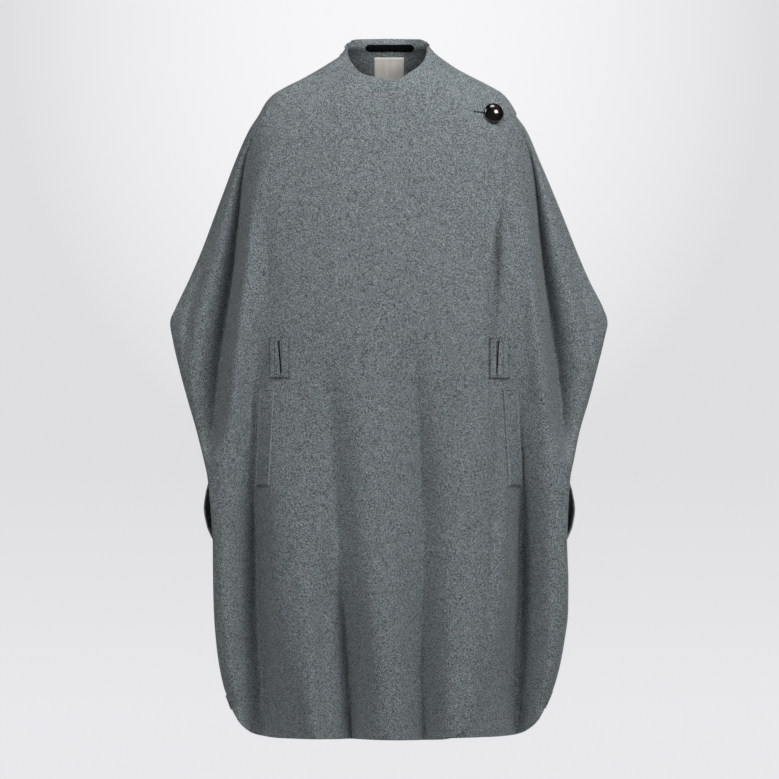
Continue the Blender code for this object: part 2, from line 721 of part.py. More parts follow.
def hole_cutter(seat):
    """The buttonhole: a slit from the shank toward the chest with a round eye at its end."""
    mesh = bmesh.new()
    ring = []
    side = HOLE_WIDTH / 2
    opening = math.asin(side / HOLE_RADIUS)
    for step in range(HOLE_STEPS + 1):
        angle = math.pi + opening + (2 * math.pi - 2 * opening) * step / HOLE_STEPS
        ring.append(Vector((HOLE_RADIUS * math.cos(angle), HOLE_RADIUS * math.sin(angle), 0)))
    ring += [Vector((-HOLE_LENGTH, side, 0)), Vector((-HOLE_LENGTH, -side, 0))]
    reach = Vector((0, 0, HOLE_CUT))
    low = [mesh.verts.new(point - reach) for point in ring]
    high = [mesh.verts.new(point + reach) for point in ring]
    mesh.faces.new(low)
    mesh.faces.new(high)
    for k, vert in enumerate(low):
        following = (k + 1) % len(low)
        mesh.faces.new([vert, low[following], high[following], high[k]])
    bmesh.ops.recalc_face_normals(mesh, faces=mesh.faces)
    return hide_cutter("buttonhole_cutter", mesh, Matrix.Translation(seat) @ button_turn())


def button_turn():
    """Axes at the button: X to the viewer's right along the cloth, Z out along the button."""
    out = BUTTON_AXIS
    across = (Vector((1, 0, 0)) - out * out.x).normalized()
    up = out.cross(across)
    return Matrix((across, up, out)).transposed().to_4x4()


def make_button(seat, base):
    """Domed button with its shank in one solid, turned about the button's axis."""
    back = BUTTON_LIFT
    edge = back + BUTTON_CHAMFER + BUTTON_EDGE
    profile = [(0, base), (SHANK_RADIUS, base), (SHANK_RADIUS, back), (BUTTON_BACK_RADIUS, back),
               (BUTTON_RADIUS, back + BUTTON_CHAMFER), (BUTTON_RADIUS, edge)]
    rise = back + BUTTON_HEIGHT - edge
    for step in range(1, DOME_STEPS + 1):
        angle = step / DOME_STEPS * math.pi / 2
        profile.append((BUTTON_RADIUS * math.cos(angle), edge + rise * math.sin(angle)))
    mesh = bmesh.new()
    rings = []
    for radius, height in profile:
        if radius < 1e-6:
            rings.append([mesh.verts.new((0, 0, height))])
            continue
        rings.append([mesh.verts.new((radius * math.cos(a), radius * math.sin(a), height))
                      for a in (2 * math.pi * k / BUTTON_SEGMENTS for k in range(BUTTON_SEGMENTS))])
    for lower, upper in zip(rings, rings[1:]):
        for k in range(BUTTON_SEGMENTS):
            following = (k + 1) % BUTTON_SEGMENTS
            if len(lower) == 1:
                mesh.faces.new([lower[0], upper[following], upper[k]])
            elif len(upper) == 1:
                mesh.faces.new([lower[k], lower[following], upper[0]])
            else:
                mesh.faces.new([lower[k], lower[following], upper[following], upper[k]])
    bmesh.ops.recalc_face_normals(mesh, faces=mesh.faces)
    bmesh.ops.transform(mesh, matrix=Matrix.Translation(seat) @ button_turn(), verts=mesh.verts)
    return finish("button", mesh, HORN)


def build_fronts():
    """Both fronts share one grid, so their layers stay an even distance apart."""
    over_rows = [front_row(i, True) for i in range(len(ROWS))]
    under_rows = [front_row(i, False) for i in range(len(ROWS))]
    last = len(over_rows[0]) - 1
    hidden_column = WING_COLUMNS + BODY_COLUMNS
    free_column = hidden_column + WRAP_COLUMNS
    over = Sheet("front", over_rows, (0, last))
    under = Sheet("under", under_rows, (0, last))
    rise_from = hidden_column - RISE_COLUMNS
    lift = CLOTH + LAYER_GAP
    lifts = [lift * smooth((j - rise_from) / RISE_COLUMNS) for j in range(last + 1)]
    below = [value - CLOTH for value in lifts]
    over_cells = [(i, j) for i in range(len(ROWS) - 1) for j in range(last)
                  if j < free_column or i < SHOULDER_ROWS]
    under_cells = [(i, j) for i in range(len(ROWS) - 1) for j in range(hidden_column, last)]
    over_outer = over.lifted(lifts)
    under_outer = under.lifted([0] * (last + 1))
    front_over = shell("front_over", over_outer, over.lifted(below), over_cells, WOOL)
    front_under = shell("front_under", under_outer, under.lifted([-CLOTH] * (last + 1)), under_cells, WOOL)
    chest = [row[:free_column + 1] for row in over_outer]
    shoulder = [row[free_column:] for row in over_outer[:SHOULDER_ROWS + 1]]
    return front_over, front_under, Skin([chest, shoulder], -1), Skin([under_outer], -1)


def build_backs():
    inner_grids = []
    for name, sign in (("back_left", -1), ("back_right", 1)):
        rows = [back_row(i, sign) for i in range(len(ROWS))]
        last = len(rows[0]) - 1
        sheet = Sheet("back", rows, (0,), (last,))
        inner = sheet.lifted([-CLOTH] * (last + 1))
        cells = [(i, j) for i in range(len(ROWS) - 1) for j in range(last)]
        shell(name, sheet.points, inner, cells, WOOL)
        inner_grids.append(inner)
    return Skin(inner_grids, 0)


def build_trim(front_over, front_under, chest, side, inside_back):
    panels = {"left": (front_over, chest), "right": (front_under, side)}
    for hand, (panel, skin) in panels.items():
        patch = "slot_patch_" + hand
        item = strip_on(patch, skin, SLOT_PATCHES[patch], PATCH_CLOTH, WOOL)
        cutter = slot_cutter("slot_cutter_" + hand, skin, *SLOTS[hand])
        cut(item, cutter)
        cut(panel, cutter)
        gaps = (WELT_GAP, PATCH_GAP) if hand == "left" else (PATCH_GAP, WELT_GAP)
        strip_on("welt_" + hand, skin, WELTS["welt_" + hand], PATCH_CLOTH, WOOL, gaps=gaps)
    strip_on("hanger_tape", inside_back, TAPE, LABEL_CLOTH, TAPE_SATIN, TAPE_ROUNDING)
    strip_on("neck_label", inside_back, LABEL, LABEL_CLOTH, LABEL_TWILL)


def build_button(front_over, chest, side):
    """The button's shank runs through the over front to just above the under front."""
    seat = chest.point(*BUTTON_PLACE)
    cut(front_over, hole_cutter(seat))
    below = side.point(seat.x, -seat.z)
    make_button(seat, (below - seat).dot(BUTTON_AXIS) + SHANK_GAP)


def main():
    for item in list(bpy.data.objects):
        bpy.data.objects.remove(item)
    front_over, front_under, chest, side = build_fronts()
    inside_back = build_backs()
    build_trim(front_over, front_under, chest, side, inside_back)
    build_button(front_over, chest, side)


main()
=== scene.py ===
"""Looks of a wool cape coat: crossed fronts, back halves, belt slots, welts, neck trim and shoulder button.

Metres, +Z up, the front faces -Y and the viewer's right is +X.
The origin is the middle of the neck base; heights are given as drops, the distance below it.
"""

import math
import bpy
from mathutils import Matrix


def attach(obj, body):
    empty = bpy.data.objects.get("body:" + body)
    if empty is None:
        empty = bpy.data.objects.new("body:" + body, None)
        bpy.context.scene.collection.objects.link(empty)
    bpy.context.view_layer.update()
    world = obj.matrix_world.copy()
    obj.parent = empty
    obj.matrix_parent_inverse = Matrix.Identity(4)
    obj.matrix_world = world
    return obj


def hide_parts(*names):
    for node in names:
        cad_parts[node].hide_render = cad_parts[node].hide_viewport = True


bl_info = {
    "name": "Wool cape coat",
    "version": (1, 0, 0),
    "blender": (4, 5, 0),
    "location": "3D View > Sidebar > Coat",
    "description": "Builds the cloth, trim, button and studio of a wool cape coat",
    "category": "Object",
}

from bisect import bisect_left
from collections import namedtuple
from functools import lru_cache

import bmesh
import bpy
import numpy as np
from bpy.props import FloatProperty, FloatVectorProperty, PointerProperty
from mathutils import Matrix, Vector
from mathutils.bvhtree import BVHTree

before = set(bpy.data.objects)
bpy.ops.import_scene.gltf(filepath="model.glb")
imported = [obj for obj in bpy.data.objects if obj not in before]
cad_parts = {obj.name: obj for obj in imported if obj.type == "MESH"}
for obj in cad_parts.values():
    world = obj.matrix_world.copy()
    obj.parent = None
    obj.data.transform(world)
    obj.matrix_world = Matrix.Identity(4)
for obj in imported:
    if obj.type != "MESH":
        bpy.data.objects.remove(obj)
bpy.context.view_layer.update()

# Driving dimensions

MM = 0.001
CLOTH = 2.4 * MM
SEAM_GAP = 0.3 * MM
LAYER_GAP = 0.45 * MM
PATCH_CLOTH = 1.6 * MM
PATCH_GAP = 0.5 * MM

# Outline of the coat seen from the front: half width to each side of the middle, in millimetres
Outline = namedtuple("Outline", "drop left right")
OUTLINE = [Outline(*row) for row in (
    (-24, 67.5, 62.5), (-11, 76.5, 73.7), (2, 95.5, 91), (14, 115.3, 109), (27, 138.3, 133.2),
    (40, 164.5, 159), (53, 185.7, 180.8), (66, 197, 192.2), (85, 207.7, 203.5), (109, 223.1, 220.5),
    (157, 244.6, 241.5), (205, 262.9, 262.1), (253, 281, 281.9), (301, 299.1, 300.9), (349, 320, 321.6),
    (397, 342.9, 345.6), (414, 349.8, 351), (445, 345.1, 345), (493, 334, 333), (541, 321, 320.3),
    (589, 307, 306), (637, 295, 296), (665, 289, 290.5), (717, 284, 287), (765, 281.5, 285.9),
    (832, 280.8, 288), (880, 279.5, 287.5), (922, 276.5, 282.3), (960, 271.8, 275.6), (998, 263.9, 265.5),
    (1024, 254.8, 254.8),
)]

# How far the back's free side edge bows out past the front's, in millimetres
SideBow = namedtuple("SideBow", "drop out")
SIDE_BOW = [SideBow(*row) for row in (
    (414, 0), (470, -4), (620, -5), (665, -1), (690, 7), (717, 12), (742, 9), (765, 0),
)]

# Cross sections in millimetres: where the mesh's side zone ends, where the crease between body and
# cape wing lies, how softly the body rolls into it, the share of the way in at which the wing
# stands highest, and for front and back the depth in the middle and in the crease, the swell of
# the wing outside the crease, and how far the side edge stands from the side plane
Section = namedtuple(
    "Section",
    "drop zone crease roll peak front front_crease front_swell front_edge "
    "back back_crease back_swell back_edge")
SECTIONS = [Section(*row) for row in (
    (-24, 58, 58, 40, 0.5, 62, 26, 0, 0, 50, 24, 0, 0),
    (5, 84, 84, 60, 0.5, 74, 46, 0, 0, 58, 38, 0, 0),
    (36, 142, 142, 80, 0.5, 86, 53, 0, 0, 70, 43, 0, 0),
    (68, 182, 182, 86, 0.5, 95, 57, 0, 0, 80, 46, 0, 0),
    (97, 201, 203, 70, 0.5, 100, 54, 0, 0, 87, 46, 0, 0),
    (130, 218, 220, 50, 0.5, 105, 40, 2, 0, 94, 41, 1, 0),
    (170, 230, 231, 36, 0.5, 110, 24, 11, 0, 100, 32, 4, 0),
    (240, 239, 239, 29, 0.55, 116, 18, 21, 0, 106, 25, 10, 0),
    (310, 246, 246, 27, 0.58, 121, 14, 27, 0, 109, 22, 15, 0),
    (385, 256, 256, 27, 0.6, 124, 12, 31, 0, 110, 21, 19, 0),
    (414, 260, 260, 27, 0.6, 124, 12, 32, 0, 110, 22, 20, 0),
    (445, 263, 263, 27, 0.5, 124, 13, 30, 10, 110, 24, 18, 10),
    (510, 268, 271, 28, 0.4, 123, 16, 24, 24, 111, 32, 12, 26),
    (580, 252, 278, 30, 0.35, 122, 32, 10, 34, 112, 44, 5, 40),
    (635, 240, 288, 30, 0.35, 122, 60, 0, 50, 113, 58, 0, 46),
    (675, 235, 300, 29, 0.35, 122, 70, 0, 58, 114, 64, 0, 44),
    (712, 233, 300, 28, 0.35, 122, 72, 0, 52, 115, 64, 0, 38),
    (745, 232, 300, 28, 0.35, 122, 71, 0, 24, 115, 62, 0, 22),
    (765, 232, 300, 28, 0.35, 123, 70, 0, 0, 116, 60, 0, 0),
    (840, 231, 300, 28, 0.35, 124, 69, 0, 0, 117, 58, 0, 0),
    (920, 228, 300, 28, 0.35, 126, 65, 0, 2, 119, 55, 0, 2),
    (1006, 222, 300, 26, 0.35, 125, 57, 0, 9, 119, 49, 0, 9),
    (1083, 218, 300, 24, 0.35, 120, 48, 0, 14, 115, 44, 0, 14),
)]
# How much the body curves back between its middle and its sides, the distance at which that
# ends, the shapes of both curves, and the least width of the turn at the side edge
BODY_CURVE = 0.34
BODY_HALF = 214
BODY_POWER = 2.4
ROLL_POWER = 2.2
EDGE_TURN = 4

# The deep side valleys, which open from the pockets to the hem: distance from the middle, depth,
# and width toward the middle and toward the side, in millimetres; the back's are shallower
Valley = namedtuple("Valley", "drop x depth inner outer")
VALLEYS = [Valley(*row) for row in (
    (410, 198, 0, 22, 26),
    (480, 204, 8, 24, 28),
    (541, 210, 14, 24, 32),
    (600, 211, 20, 27, 38),
    (653, 213, 27, 29, 44),
    (685, 213, 34, 29, 48),
    (720, 212, 43, 30, 51),
    (750, 211, 49, 30, 53),
    (800, 211, 55, 32, 55),
    (845, 210, 58, 35, 57),
    (900, 208, 60, 42, 60),
    (950, 206, 62, 54, 62),
    (1010, 203, 62, 74, 62),
    (1083, 203, 60, 90, 60),
)]
BACK_VALLEY_SHARE = 0.6

# Soft folds: their path as three points, widths to the left and right and height out of the
# cloth, all in millimetres; a fold swells from nothing at its first point and runs full from the
# second one on, and a closing one dies away again at its last point; troughs are sharper than
# ridges, and those named under lie in the under front alone
Fold = namedtuple("Fold", "side x_top top x_mid mid x_low low left right height closes")
FOLDS = [Fold(*row) for row in (
    ("front", -206, 150, -236, 445, -270, 700, 28, 22, 9, True),
    ("front", 206, 150, 240, 470, 270, 700, 22, 28, 9, True),
    ("front", -292, 300, -320, 410, -328, 520, 12, 16, -9, True),
    ("front", 292, 300, 318, 410, 328, 520, 16, 12, -9, True),
    ("front", -104, 400, -84, 690, -60, 1083, 36, 50, -22, False),
    ("front", -82, 770, -61, 970, -58, 1083, 62, 52, -46, False),
    ("front", 36, 380, 57, 720, 58, 1083, 64, 44, -34, False),
    ("front", -112, 590, -104, 880, -98, 1083, 30, 26, -16, False),
    ("front", 54, 780, 54, 980, 54, 1083, 62, 56, -16, False),
    ("front", 212, 560, 214, 740, 208, 1083, 34, 48, -12, False),
    ("front", -166, 540, -153, 790, -110, 1050, 42, 42, 8, False),
    ("front", -42, 400, -30, 740, 20, 1050, 48, 44, 8, False),
    ("front", 98, 260, 137, 620, 118, 1050, 52, 40, 10, False),
    ("front", -195, 200, -193, 330, -190, 460, 26, 22, -6, True),
    ("under", 174, 230, 170, 320, 172, 620, 44, 26, -20, True),
    ("under", 186, 470, 188, 600, 198, 740, 32, 30, -12, True),
    ("back", -214, 160, -238, 406, -268, 660, 26, 22, 7, True),
    ("back", 212, 150, 240, 390, 268, 650, 22, 26, 7, True),
    ("back", -128, 420, -118, 760, -110, 1083, 60, 70, -20, False),
    ("back", 112, 360, 122, 720, 134, 1083, 74, 58, -22, False),
    ("back", -56, 560, -44, 800, -36, 1083, 52, 52, 9, False),
    ("back", 34, 300, 44, 640, 52, 1083, 54, 54, 8, False),
    ("back", -8, 90, -6, 260, -4, 520, 60, 60, -6, True),
)]
# How much rounder than a sharp crease a trough and a valley are, and the outer share of a wing in
# which folds fade
TROUGH_ROUNDING = 0.6
VALLEY_ROUNDING = 0.7
WING_FADE = 0.2

# Mesh rows: drop of a row at the side outline, at the inner edges of the side zones and in the
# middle of the front and of the back, and how far the row has bent to the hem's curve
Row = namedtuple("Row", "end knee front_mid back_mid hem")
ROWS = [Row(*row) for row in (
    (-24, -24, 37, -38, 0), (-10, 27, 53, -20, 0), (5, 50, 67, 0, 0), (20, 66, 81, 20, 0),
    (36, 82, 95, 40, 0), (52, 97, 108, 60, 0), (68, 112, 120, 80, 0), (83, 125, 131, 98, 0),
    (105, 146, 151, 120, 0), (132, 169, 173, 145, 0), (164, 196, 199, 175, 0), (198, 225, 228, 206, 0),
    (234, 255, 258, 240, 0), (272, 288, 290, 276, 0), (312, 322, 324, 314, 0), (350, 356, 357, 351, 0),
    (385, 388, 388, 385, 0), (414, 415, 415, 414, 0),
)]
ROWS += [Row(drop, drop, drop, drop, hem) for drop, hem in (
    (445, 0), (480, 0), (516, 0), (552, 0), (588, 0), (618, 0), (645, 0), (672, 0), (696, 0), (719, 0),
    (742, 0), (765, 0), (800, 0), (840, 0), (880, 0), (920, 0), (955, 0.2), (985, 0.45), (1006, 0.75),
    (1024, 1),
)]

# The neckline: drop of the rim at each distance from the middle
Rim = namedtuple("Rim", "x drop")
FRONT_RIM = [Rim(*row) for row in (
    (-67.5, -24), (-65, -9), (-60, 2.5), (-52, 12.5), (-41, 20.5), (-29, 24.5), (-7, 28.5), (12, 32.5),
    (20, 30), (26, 25), (38, 17), (49, 9), (57, -1), (61, -12), (62.5, -24),
)]
BACK_RIM = [Rim(*row) for row in (
    (-67.5, -24), (-64, -30.5), (-57, -35), (-48, -36), (0, -36.5), (50, -36), (57, -34), (61, -29.5),
    (62.5, -24),
)]
# How far the over front's rim lies below the under front's, and the widths over which it falls:
# from the middle of the neck, and from the hidden edge
OVER_RIM_DROP = 4 * MM
OVER_RIM_BLEND = 30 * MM
HIDDEN_RIM_BLEND = 12 * MM

# Inner edges of the side zones: the under front's hidden edge, and the over front's free edge
Edge = namedtuple("Edge", "drop x")
HIDDEN_EDGE = [Edge(*row) for row in (
    (10, -54), (27, -64), (50, -74), (80, -78), (400, -78), (1083, -76),
)]
FREE_EDGE = [Edge(*row) for row in (
    (6, 53), (27, 64), (50, 80), (66, 104), (82, 132), (97, 158), (112, 176), (125, 188), (157, 184.8),
    (205, 184), (240, 178.4), (274, 167), (304, 163), (333, 159), (368, 156), (440, 156), (506, 157.6),
    (786, 157.6), (861, 149), (904, 149.5), (976, 145), (1019, 140), (1083, 136),
)]

# The hem: drop at each distance from the middle, with round corners at the sides, and the over
# front's own round corner at its free edge
SIDE_HEM = [Rim(*row) for row in (
    (0, 1080.5), (120, 1080.3), (150, 1080), (176, 1079.5), (199, 1077), (216, 1072), (229, 1063),
    (240, 1051), (248, 1038.5), (254.8, 1020),
)]
CORNER_HEM = [Rim(*row) for row in (
    (60, 1082), (88, 1080.5), (106, 1076), (118, 1068), (127, 1057), (133, 1046), (138, 1034),
)]
UNDER_HEM_RISE = 2.5 * MM

# Columns in each zone across a front and in the body of a back half, how strongly they gather
# toward the outer side of their zone, the columns over which the over front rises from its
# hidden edge, and the rows in which it reaches the far shoulder
WING_COLUMNS = 6
BODY_COLUMNS = 7
WRAP_COLUMNS = 10
NEAR_COLUMNS = 5
BACK_COLUMNS = 8
WING_GATHER = 1.5
BODY_GATHER = 1.25
NEAR_GATHER = 1.1
BACK_GATHER = 1.15
BACK_ROW_POWER = 2.5
RISE_COLUMNS = 2
SHOULDER_ROWS = 7

# Belt slots, pockets, label and button, in millimetres
Strip = namedtuple("Strip", "x_top x_low drop_top drop_low width")
SLOT_PATCHES = {
    "slot_patch_left": Strip(-173, -173, 440, 505, 32),
    "slot_patch_right": Strip(176.2, 176.2, 441, 506, 32),
}
WELTS = {
    "welt_left": Strip(-191.8, -199.2, 523, 678, 20.5),
    "welt_right": Strip(192.8, 201.6, 523, 678, 20.5),
}
# How wide a welt lies flat: it is seen at a slant on the slope of the side valley
WELT_FLAT_WIDTH = 31 * MM
# Slits in the cloth, in millimetres: the belt slots, and the mouths behind the welts
Slit = namedtuple("Slit", "x_top x_low top length width")
SLOTS = {"left": Slit(-175.2, -171.4, 446, 52, 2.6), "right": Slit(175.4, 172.4, 446, 52, 2.6)}
MOUTHS = {"left": Slit(-204.6, -208.6, 575, 96, 1.5), "right": Slit(206.4, 212.0, 575, 96, 1.5)}
SLIT_CUT = 30 * MM
# Where the lips of a belt slot show on its patch, as shares of the patch
LIPS = {"left": (0.26, 0.60, 0.10, 0.92), "right": (0.36, 0.70, 0.10, 0.92)}
TAPE = Strip(2, 2, -28.5, -18, 78)
TAPE_ROUNDING = 5
LABEL = Strip(1, 1, -8, 38, 47)
LABEL_CLOTH = 1.0 * MM
BUTTON_PLACE = (166.2 * MM, 84.6 * MM)
BUTTON_AXIS = Vector((0.30, -0.91, 0.28)).normalized()
BUTTON_RADIUS = 16 * MM
BUTTON_BACK_RADIUS = 13.8 * MM
BUTTON_CHAMFER = 1.5 * MM
BUTTON_EDGE = 0.9 * MM
BUTTON_HEIGHT = 7 * MM
BUTTON_LIFT = 4.2 * MM
SHANK_RADIUS = 2.6 * MM
SHANK_GAP = 1.2 * MM
HOLE_RADIUS = 3.1 * MM
HOLE_LENGTH = 33 * MM
HOLE_WIDTH = 2.1 * MM
HOLE_CUT = 12 * MM
HOLE_STEPS = 12

# Finer creases than the solids have, in the same columns as the soft folds
FINE_FOLDS = [
    Fold("front", 128, 132, 160, 176, 192, 226, 12, 12, -1.8, True),
]

# Sizes that only the looks have: edges, stitches, and the spacing of the mesh of laid pieces
EDGE_ROLL = 0.9 * MM
LAID_ROLL = 0.3 * MM
STITCH = 3.4 * MM
STITCH_INSET = 2.2 * MM
PATCH_INSET = 0.9 * MM
THREAD = 1.25 * MM
PRESSED_EDGE = 2.0 * MM
PRESSED_STEP = 1.3
LABEL_INSET = 1.2 * MM
LABEL_STITCH = 1.6 * MM
LABEL_PITCH = 2.2 * MM
LABEL_THREAD = 0.4 * MM
PATCH_MESH = 0.8 * MM
WELT_MESH = 1.0 * MM
TAPE_MESH = 1.0 * MM
LABEL_MESH = 1.2 * MM
# The tape is longer along its curve than its drop says
# A welt stands open along its mouth: how far, across what width, and clear of its sewn ends
WELT_OPENING = 1.8 * MM
MOUTH_WIDTH = 9 * MM
END_SEWN = 3 * MM
END_BLEND = 14 * MM
MOUTH_SWELL = 0.5 * MM
MOUTH_SWELL_WIDTH = 10 * MM
STITCH_GROOVE = 0.35 * MM
STITCH_GROOVE_WIDTH = 0.6 * MM
PATCH_EDGE = 1.1 * MM
WELT_EDGE = 1.5 * MM
TRIM_EDGE = 0.5 * MM
DOME_STEPS = 14
BUTTON_SIDES = 72
NORMAL_REACH = 7 * MM
# Lights: the studio setting that each one's power comes from and its share of it, where it
# stands, what it looks at, and its width and height, in metres
Lamp = namedtuple("Lamp", "name setting share place target size")
LAMPS = [Lamp(*row) for row in (
    ("key", "key", 1, (1.35, -2.0, 2.0), (0, 0, -0.2), (0.7, 1.3)),
    ("far_key", "key", 1.25, (-1.35, -2.0, 2.0), (0, 0, -0.2), (0.7, 1.3)),
    ("top", "top", 1, (0.9, -0.9, 1.9), (0, 0, 0), (0.7, 0.7)),
    ("spark", "spark", 1, (2.03, -1.86, 1.57), (0.17, -0.1, -0.08), (0.5, 0.5)),
    ("back", "back", 1, (0.9, 2.6, 0.3), (0, 0, -0.5), (1.2, 1.2)),
)]
FLOOR_RADIUS = 8
SENSOR = 36
CAMERA_REACH = 200
FLOOR_DROP = 1.45
FRAME_WIDTH = 1.2464
FRAME_MIDDLE = (0.0016, -0.524)
# Where the backdrop glows, as a turned and scaled view direction, and how wide and high
GLOW_PLACE = (0, 0, -0.79)
GLOW_SCALE = (39, 0, 32)

# Finer form of the cloth than the solids have: mesh steps in each of the solids' rows and columns,
# extra columns by the free edge and the middle seam, extra rows by the rim and the hem
FINE = 5
EDGE_SHARES = (0.0025, 0.006, 0.011, 0.018, 0.028)
SEAM_COLUMNS = (0.8 * MM, 1.8 * MM, 3.2 * MM, 5 * MM)
RIM_ROWS = (0, 0.05, 0.11, 0.19, 0.29, 0.41, 0.55, 0.7, 0.85)
HEM_ROWS = (36.2, 36.4, 36.6, 36.75, 36.87, 36.95, 37)
RIM_PROFILE = (0.12, 0.5, 0.88)
GROOVE = 0.7 * MM
GROOVE_WIDTH = 1.8 * MM
ALLOWANCE = 0.6 * MM
ALLOWANCE_WIDTH = 11 * MM
MIDDLE_GAP = 0.04 * MM
NECK_FLARE = 4.5 * MM
NECK_FLARE_DEPTH = 9 * MM
NECK_FLARE_POWER = 1.5
NECK_FLARE_END = 25 * MM


def slopes(points):
    """Slopes of a curve through points that never overshoots them."""
    steps = [(b[1] - a[1]) / (b[0] - a[0]) for a, b in zip(points, points[1:])]
    inner = [0 if a * b <= 0 else 2 * a * b / (a + b) for a, b in zip(steps, steps[1:])]
    return [steps[0]] + inner + [steps[-1]]


def fit(points):
    """A smooth function through points."""
    points = sorted(points)
    places = [point[0] for point in points]
    tangents = slopes(points)

    def read(at):
        if at <= places[0]:
            return points[0][1]
        if at >= places[-1]:
            return points[-1][1]
        index = bisect_left(places, at) - 1
        (x0, y0), (x1, y1) = points[index], points[index + 1]
        span = x1 - x0
        t = (at - x0) / span
        return (y0 * (1 + 2 * t) * (1 - t) ** 2 + y1 * t * t * (3 - 2 * t)
                + span * t * (1 - t) * (tangents[index] * (1 - t) - tangents[index + 1] * t))
    return read


def curve(table, value):
    """A function in metres through a table's column, both given in millimetres."""
    key = table[0]._fields[0]
    return fit([(getattr(row, key) * MM, getattr(row, value) * MM) for row in table])


outline_left = curve(OUTLINE, "left")
outline_right = curve(OUTLINE, "right")
side_bow = curve(SIDE_BOW, "out")
zone_line = curve(SECTIONS, "zone")
crease_line = curve(SECTIONS, "crease")
peak_share = fit([(row.drop * MM, row.peak) for row in SECTIONS])
roll_width = curve(SECTIONS, "roll")
front_rim = curve(FRONT_RIM, "drop")
back_rim = curve(BACK_RIM, "drop")
hidden_edge = curve(HIDDEN_EDGE, "x")
free_edge = curve(FREE_EDGE, "x")
side_hem = curve(SIDE_HEM, "drop")
corner_hem = curve(CORNER_HEM, "drop")
VALLEY_SHAPE = [curve(VALLEYS, name) for name in ("x", "depth", "inner", "outer")]
SHAPES = {
    side: [curve(SECTIONS, name) for name in (side, side + "_crease", side + "_swell", side + "_edge")]
    for side in ("front", "back")
}
row_end, row_knee, row_front, row_back = [
    fit([(index, getattr(row, name) * MM) for index, row in enumerate(ROWS)])
    for name in ("end", "knee", "front_mid", "back_mid")]
row_hem = fit([(index, row.hem) for index, row in enumerate(ROWS)])


def smooth(t):
    t = min(1, max(0, t))
    return t * t * (3 - 2 * t)


def half_width(side, x, drop):
    width = outline_left(drop) if x < 0 else outline_right(drop)
    return width + (side_bow(drop) if side == "back" else 0)


def fold_height(fold, x, drop):
    """How far one soft fold lifts the cloth at a place."""
    top, mid, low = fold.top * MM, fold.mid * MM, fold.low * MM
    if drop <= top or (fold.closes and drop >= low):
        return 0
    if drop < mid:
        t = (drop - top) / (mid - top)
        path = fold.x_top + (fold.x_mid - fold.x_top) * t
        swell = smooth(t)
    else:
        t = min(1, (drop - mid) / (low - mid))
        path = fold.x_mid + (fold.x_low - fold.x_mid) * t
        swell = 1 - smooth(t) if fold.closes else 1
    off = (x - path * MM) / (fold.left if x < path * MM else fold.right) / MM
    if abs(off) >= 1:
        return 0
    profile = (1 - off * off) ** 2
    if fold.height < 0:
        profile = (1 - abs(off)) ** 2 * (1 + TROUGH_ROUNDING * abs(off))
    return fold.height * MM * swell * profile


def valley_depth(side, across, drop):
    """How deep the side valley is at a distance from the middle."""
    x, deep, inner, outer = [read(drop) for read in VALLEY_SHAPE]
    off = abs(across - x) / (inner if across < x else outer)
    if off >= 1:
        return 0
    profile = (1 - off) ** 2 * (1 + VALLEY_ROUNDING * off)
    return deep * profile * (BACK_VALLEY_SHARE if side == "back" else 1)


def depth(side, x, drop):
    """Distance of the cloth's outer face from the side plane of the coat."""
    face = "back" if side == "back" else "front"
    middle, in_crease, swell, at_edge = [read(drop) for read in SHAPES[face]]
    width = half_width(face, x, drop)
    crease = min(crease_line(drop), width - EDGE_TURN * MM)
    across = abs(x)
    if across >= width:
        return at_edge
    folds = sum(fold_height(fold, x, drop) for fold in FOLDS + FINE_FOLDS if fold.side in (face, side))
    if across <= crease:
        half = min(crease, BODY_HALF * MM)
        flat = middle * (1 - BODY_CURVE * min(1, across / half) ** BODY_POWER)
        flat -= valley_depth(face, across, drop)
        roll = 1 - max(0, 1 - (crease - across) / roll_width(drop)) ** ROLL_POWER
        return in_crease + (flat - in_crease) * roll + folds
    t = (width - across) / (width - crease)
    arch = math.sqrt(1 - (1 - t) ** 2)
    hump = math.sin(math.pi * t ** (math.log(0.5) / math.log(peak_share(drop))))
    return at_edge + (in_crease - at_edge) * arch + swell * hump + folds * smooth(t / WING_FADE)


def place(side, x, drop):
    """Point of the outer face; the two sides keep a seam's gap between them."""
    away = max(depth(side, x, drop), SEAM_GAP / 2)
    if side == "back":
        rise = back_rim(x) + NECK_FLARE_DEPTH - drop
        if rise > 0 and abs(x) < BACK_RIM[-1].x * MM:
            away += NECK_FLARE * (rise / NECK_FLARE_DEPTH) ** NECK_FLARE_POWER * smooth(
                (BACK_RIM[-1].x * MM - abs(x)) / NECK_FLARE_END)
    return (x, away if side == "back" else -away, -drop)


def hem_curve(x, over):
    """Drop of the hem; the over front also turns up round its own corner."""
    drop = side_hem(abs(x))
    if over and x > CORNER_HEM[0].x * MM:
        return corner_hem(x)
    if over:
        return drop + (CORNER_HEM[0].drop * MM - side_hem(CORNER_HEM[0].x * MM)) * smooth(
            (x - hidden_edge(drop)) / (CORNER_HEM[0].x * MM - hidden_edge(drop)))
    return drop - UNDER_HEM_RISE * smooth(x / (CORNER_HEM[-1].x * MM))


def shares_of(count, power, closes, extra=()):
    """Fractions across a zone, gathered toward one side, with extra ones close to its end."""
    steps = [(step / (count * FINE)) ** power for step in range(count * FINE + 1)]
    if closes:
        steps = [1 - step for step in reversed(steps)]
    return sorted(set(steps) | {1 - share for share in extra})


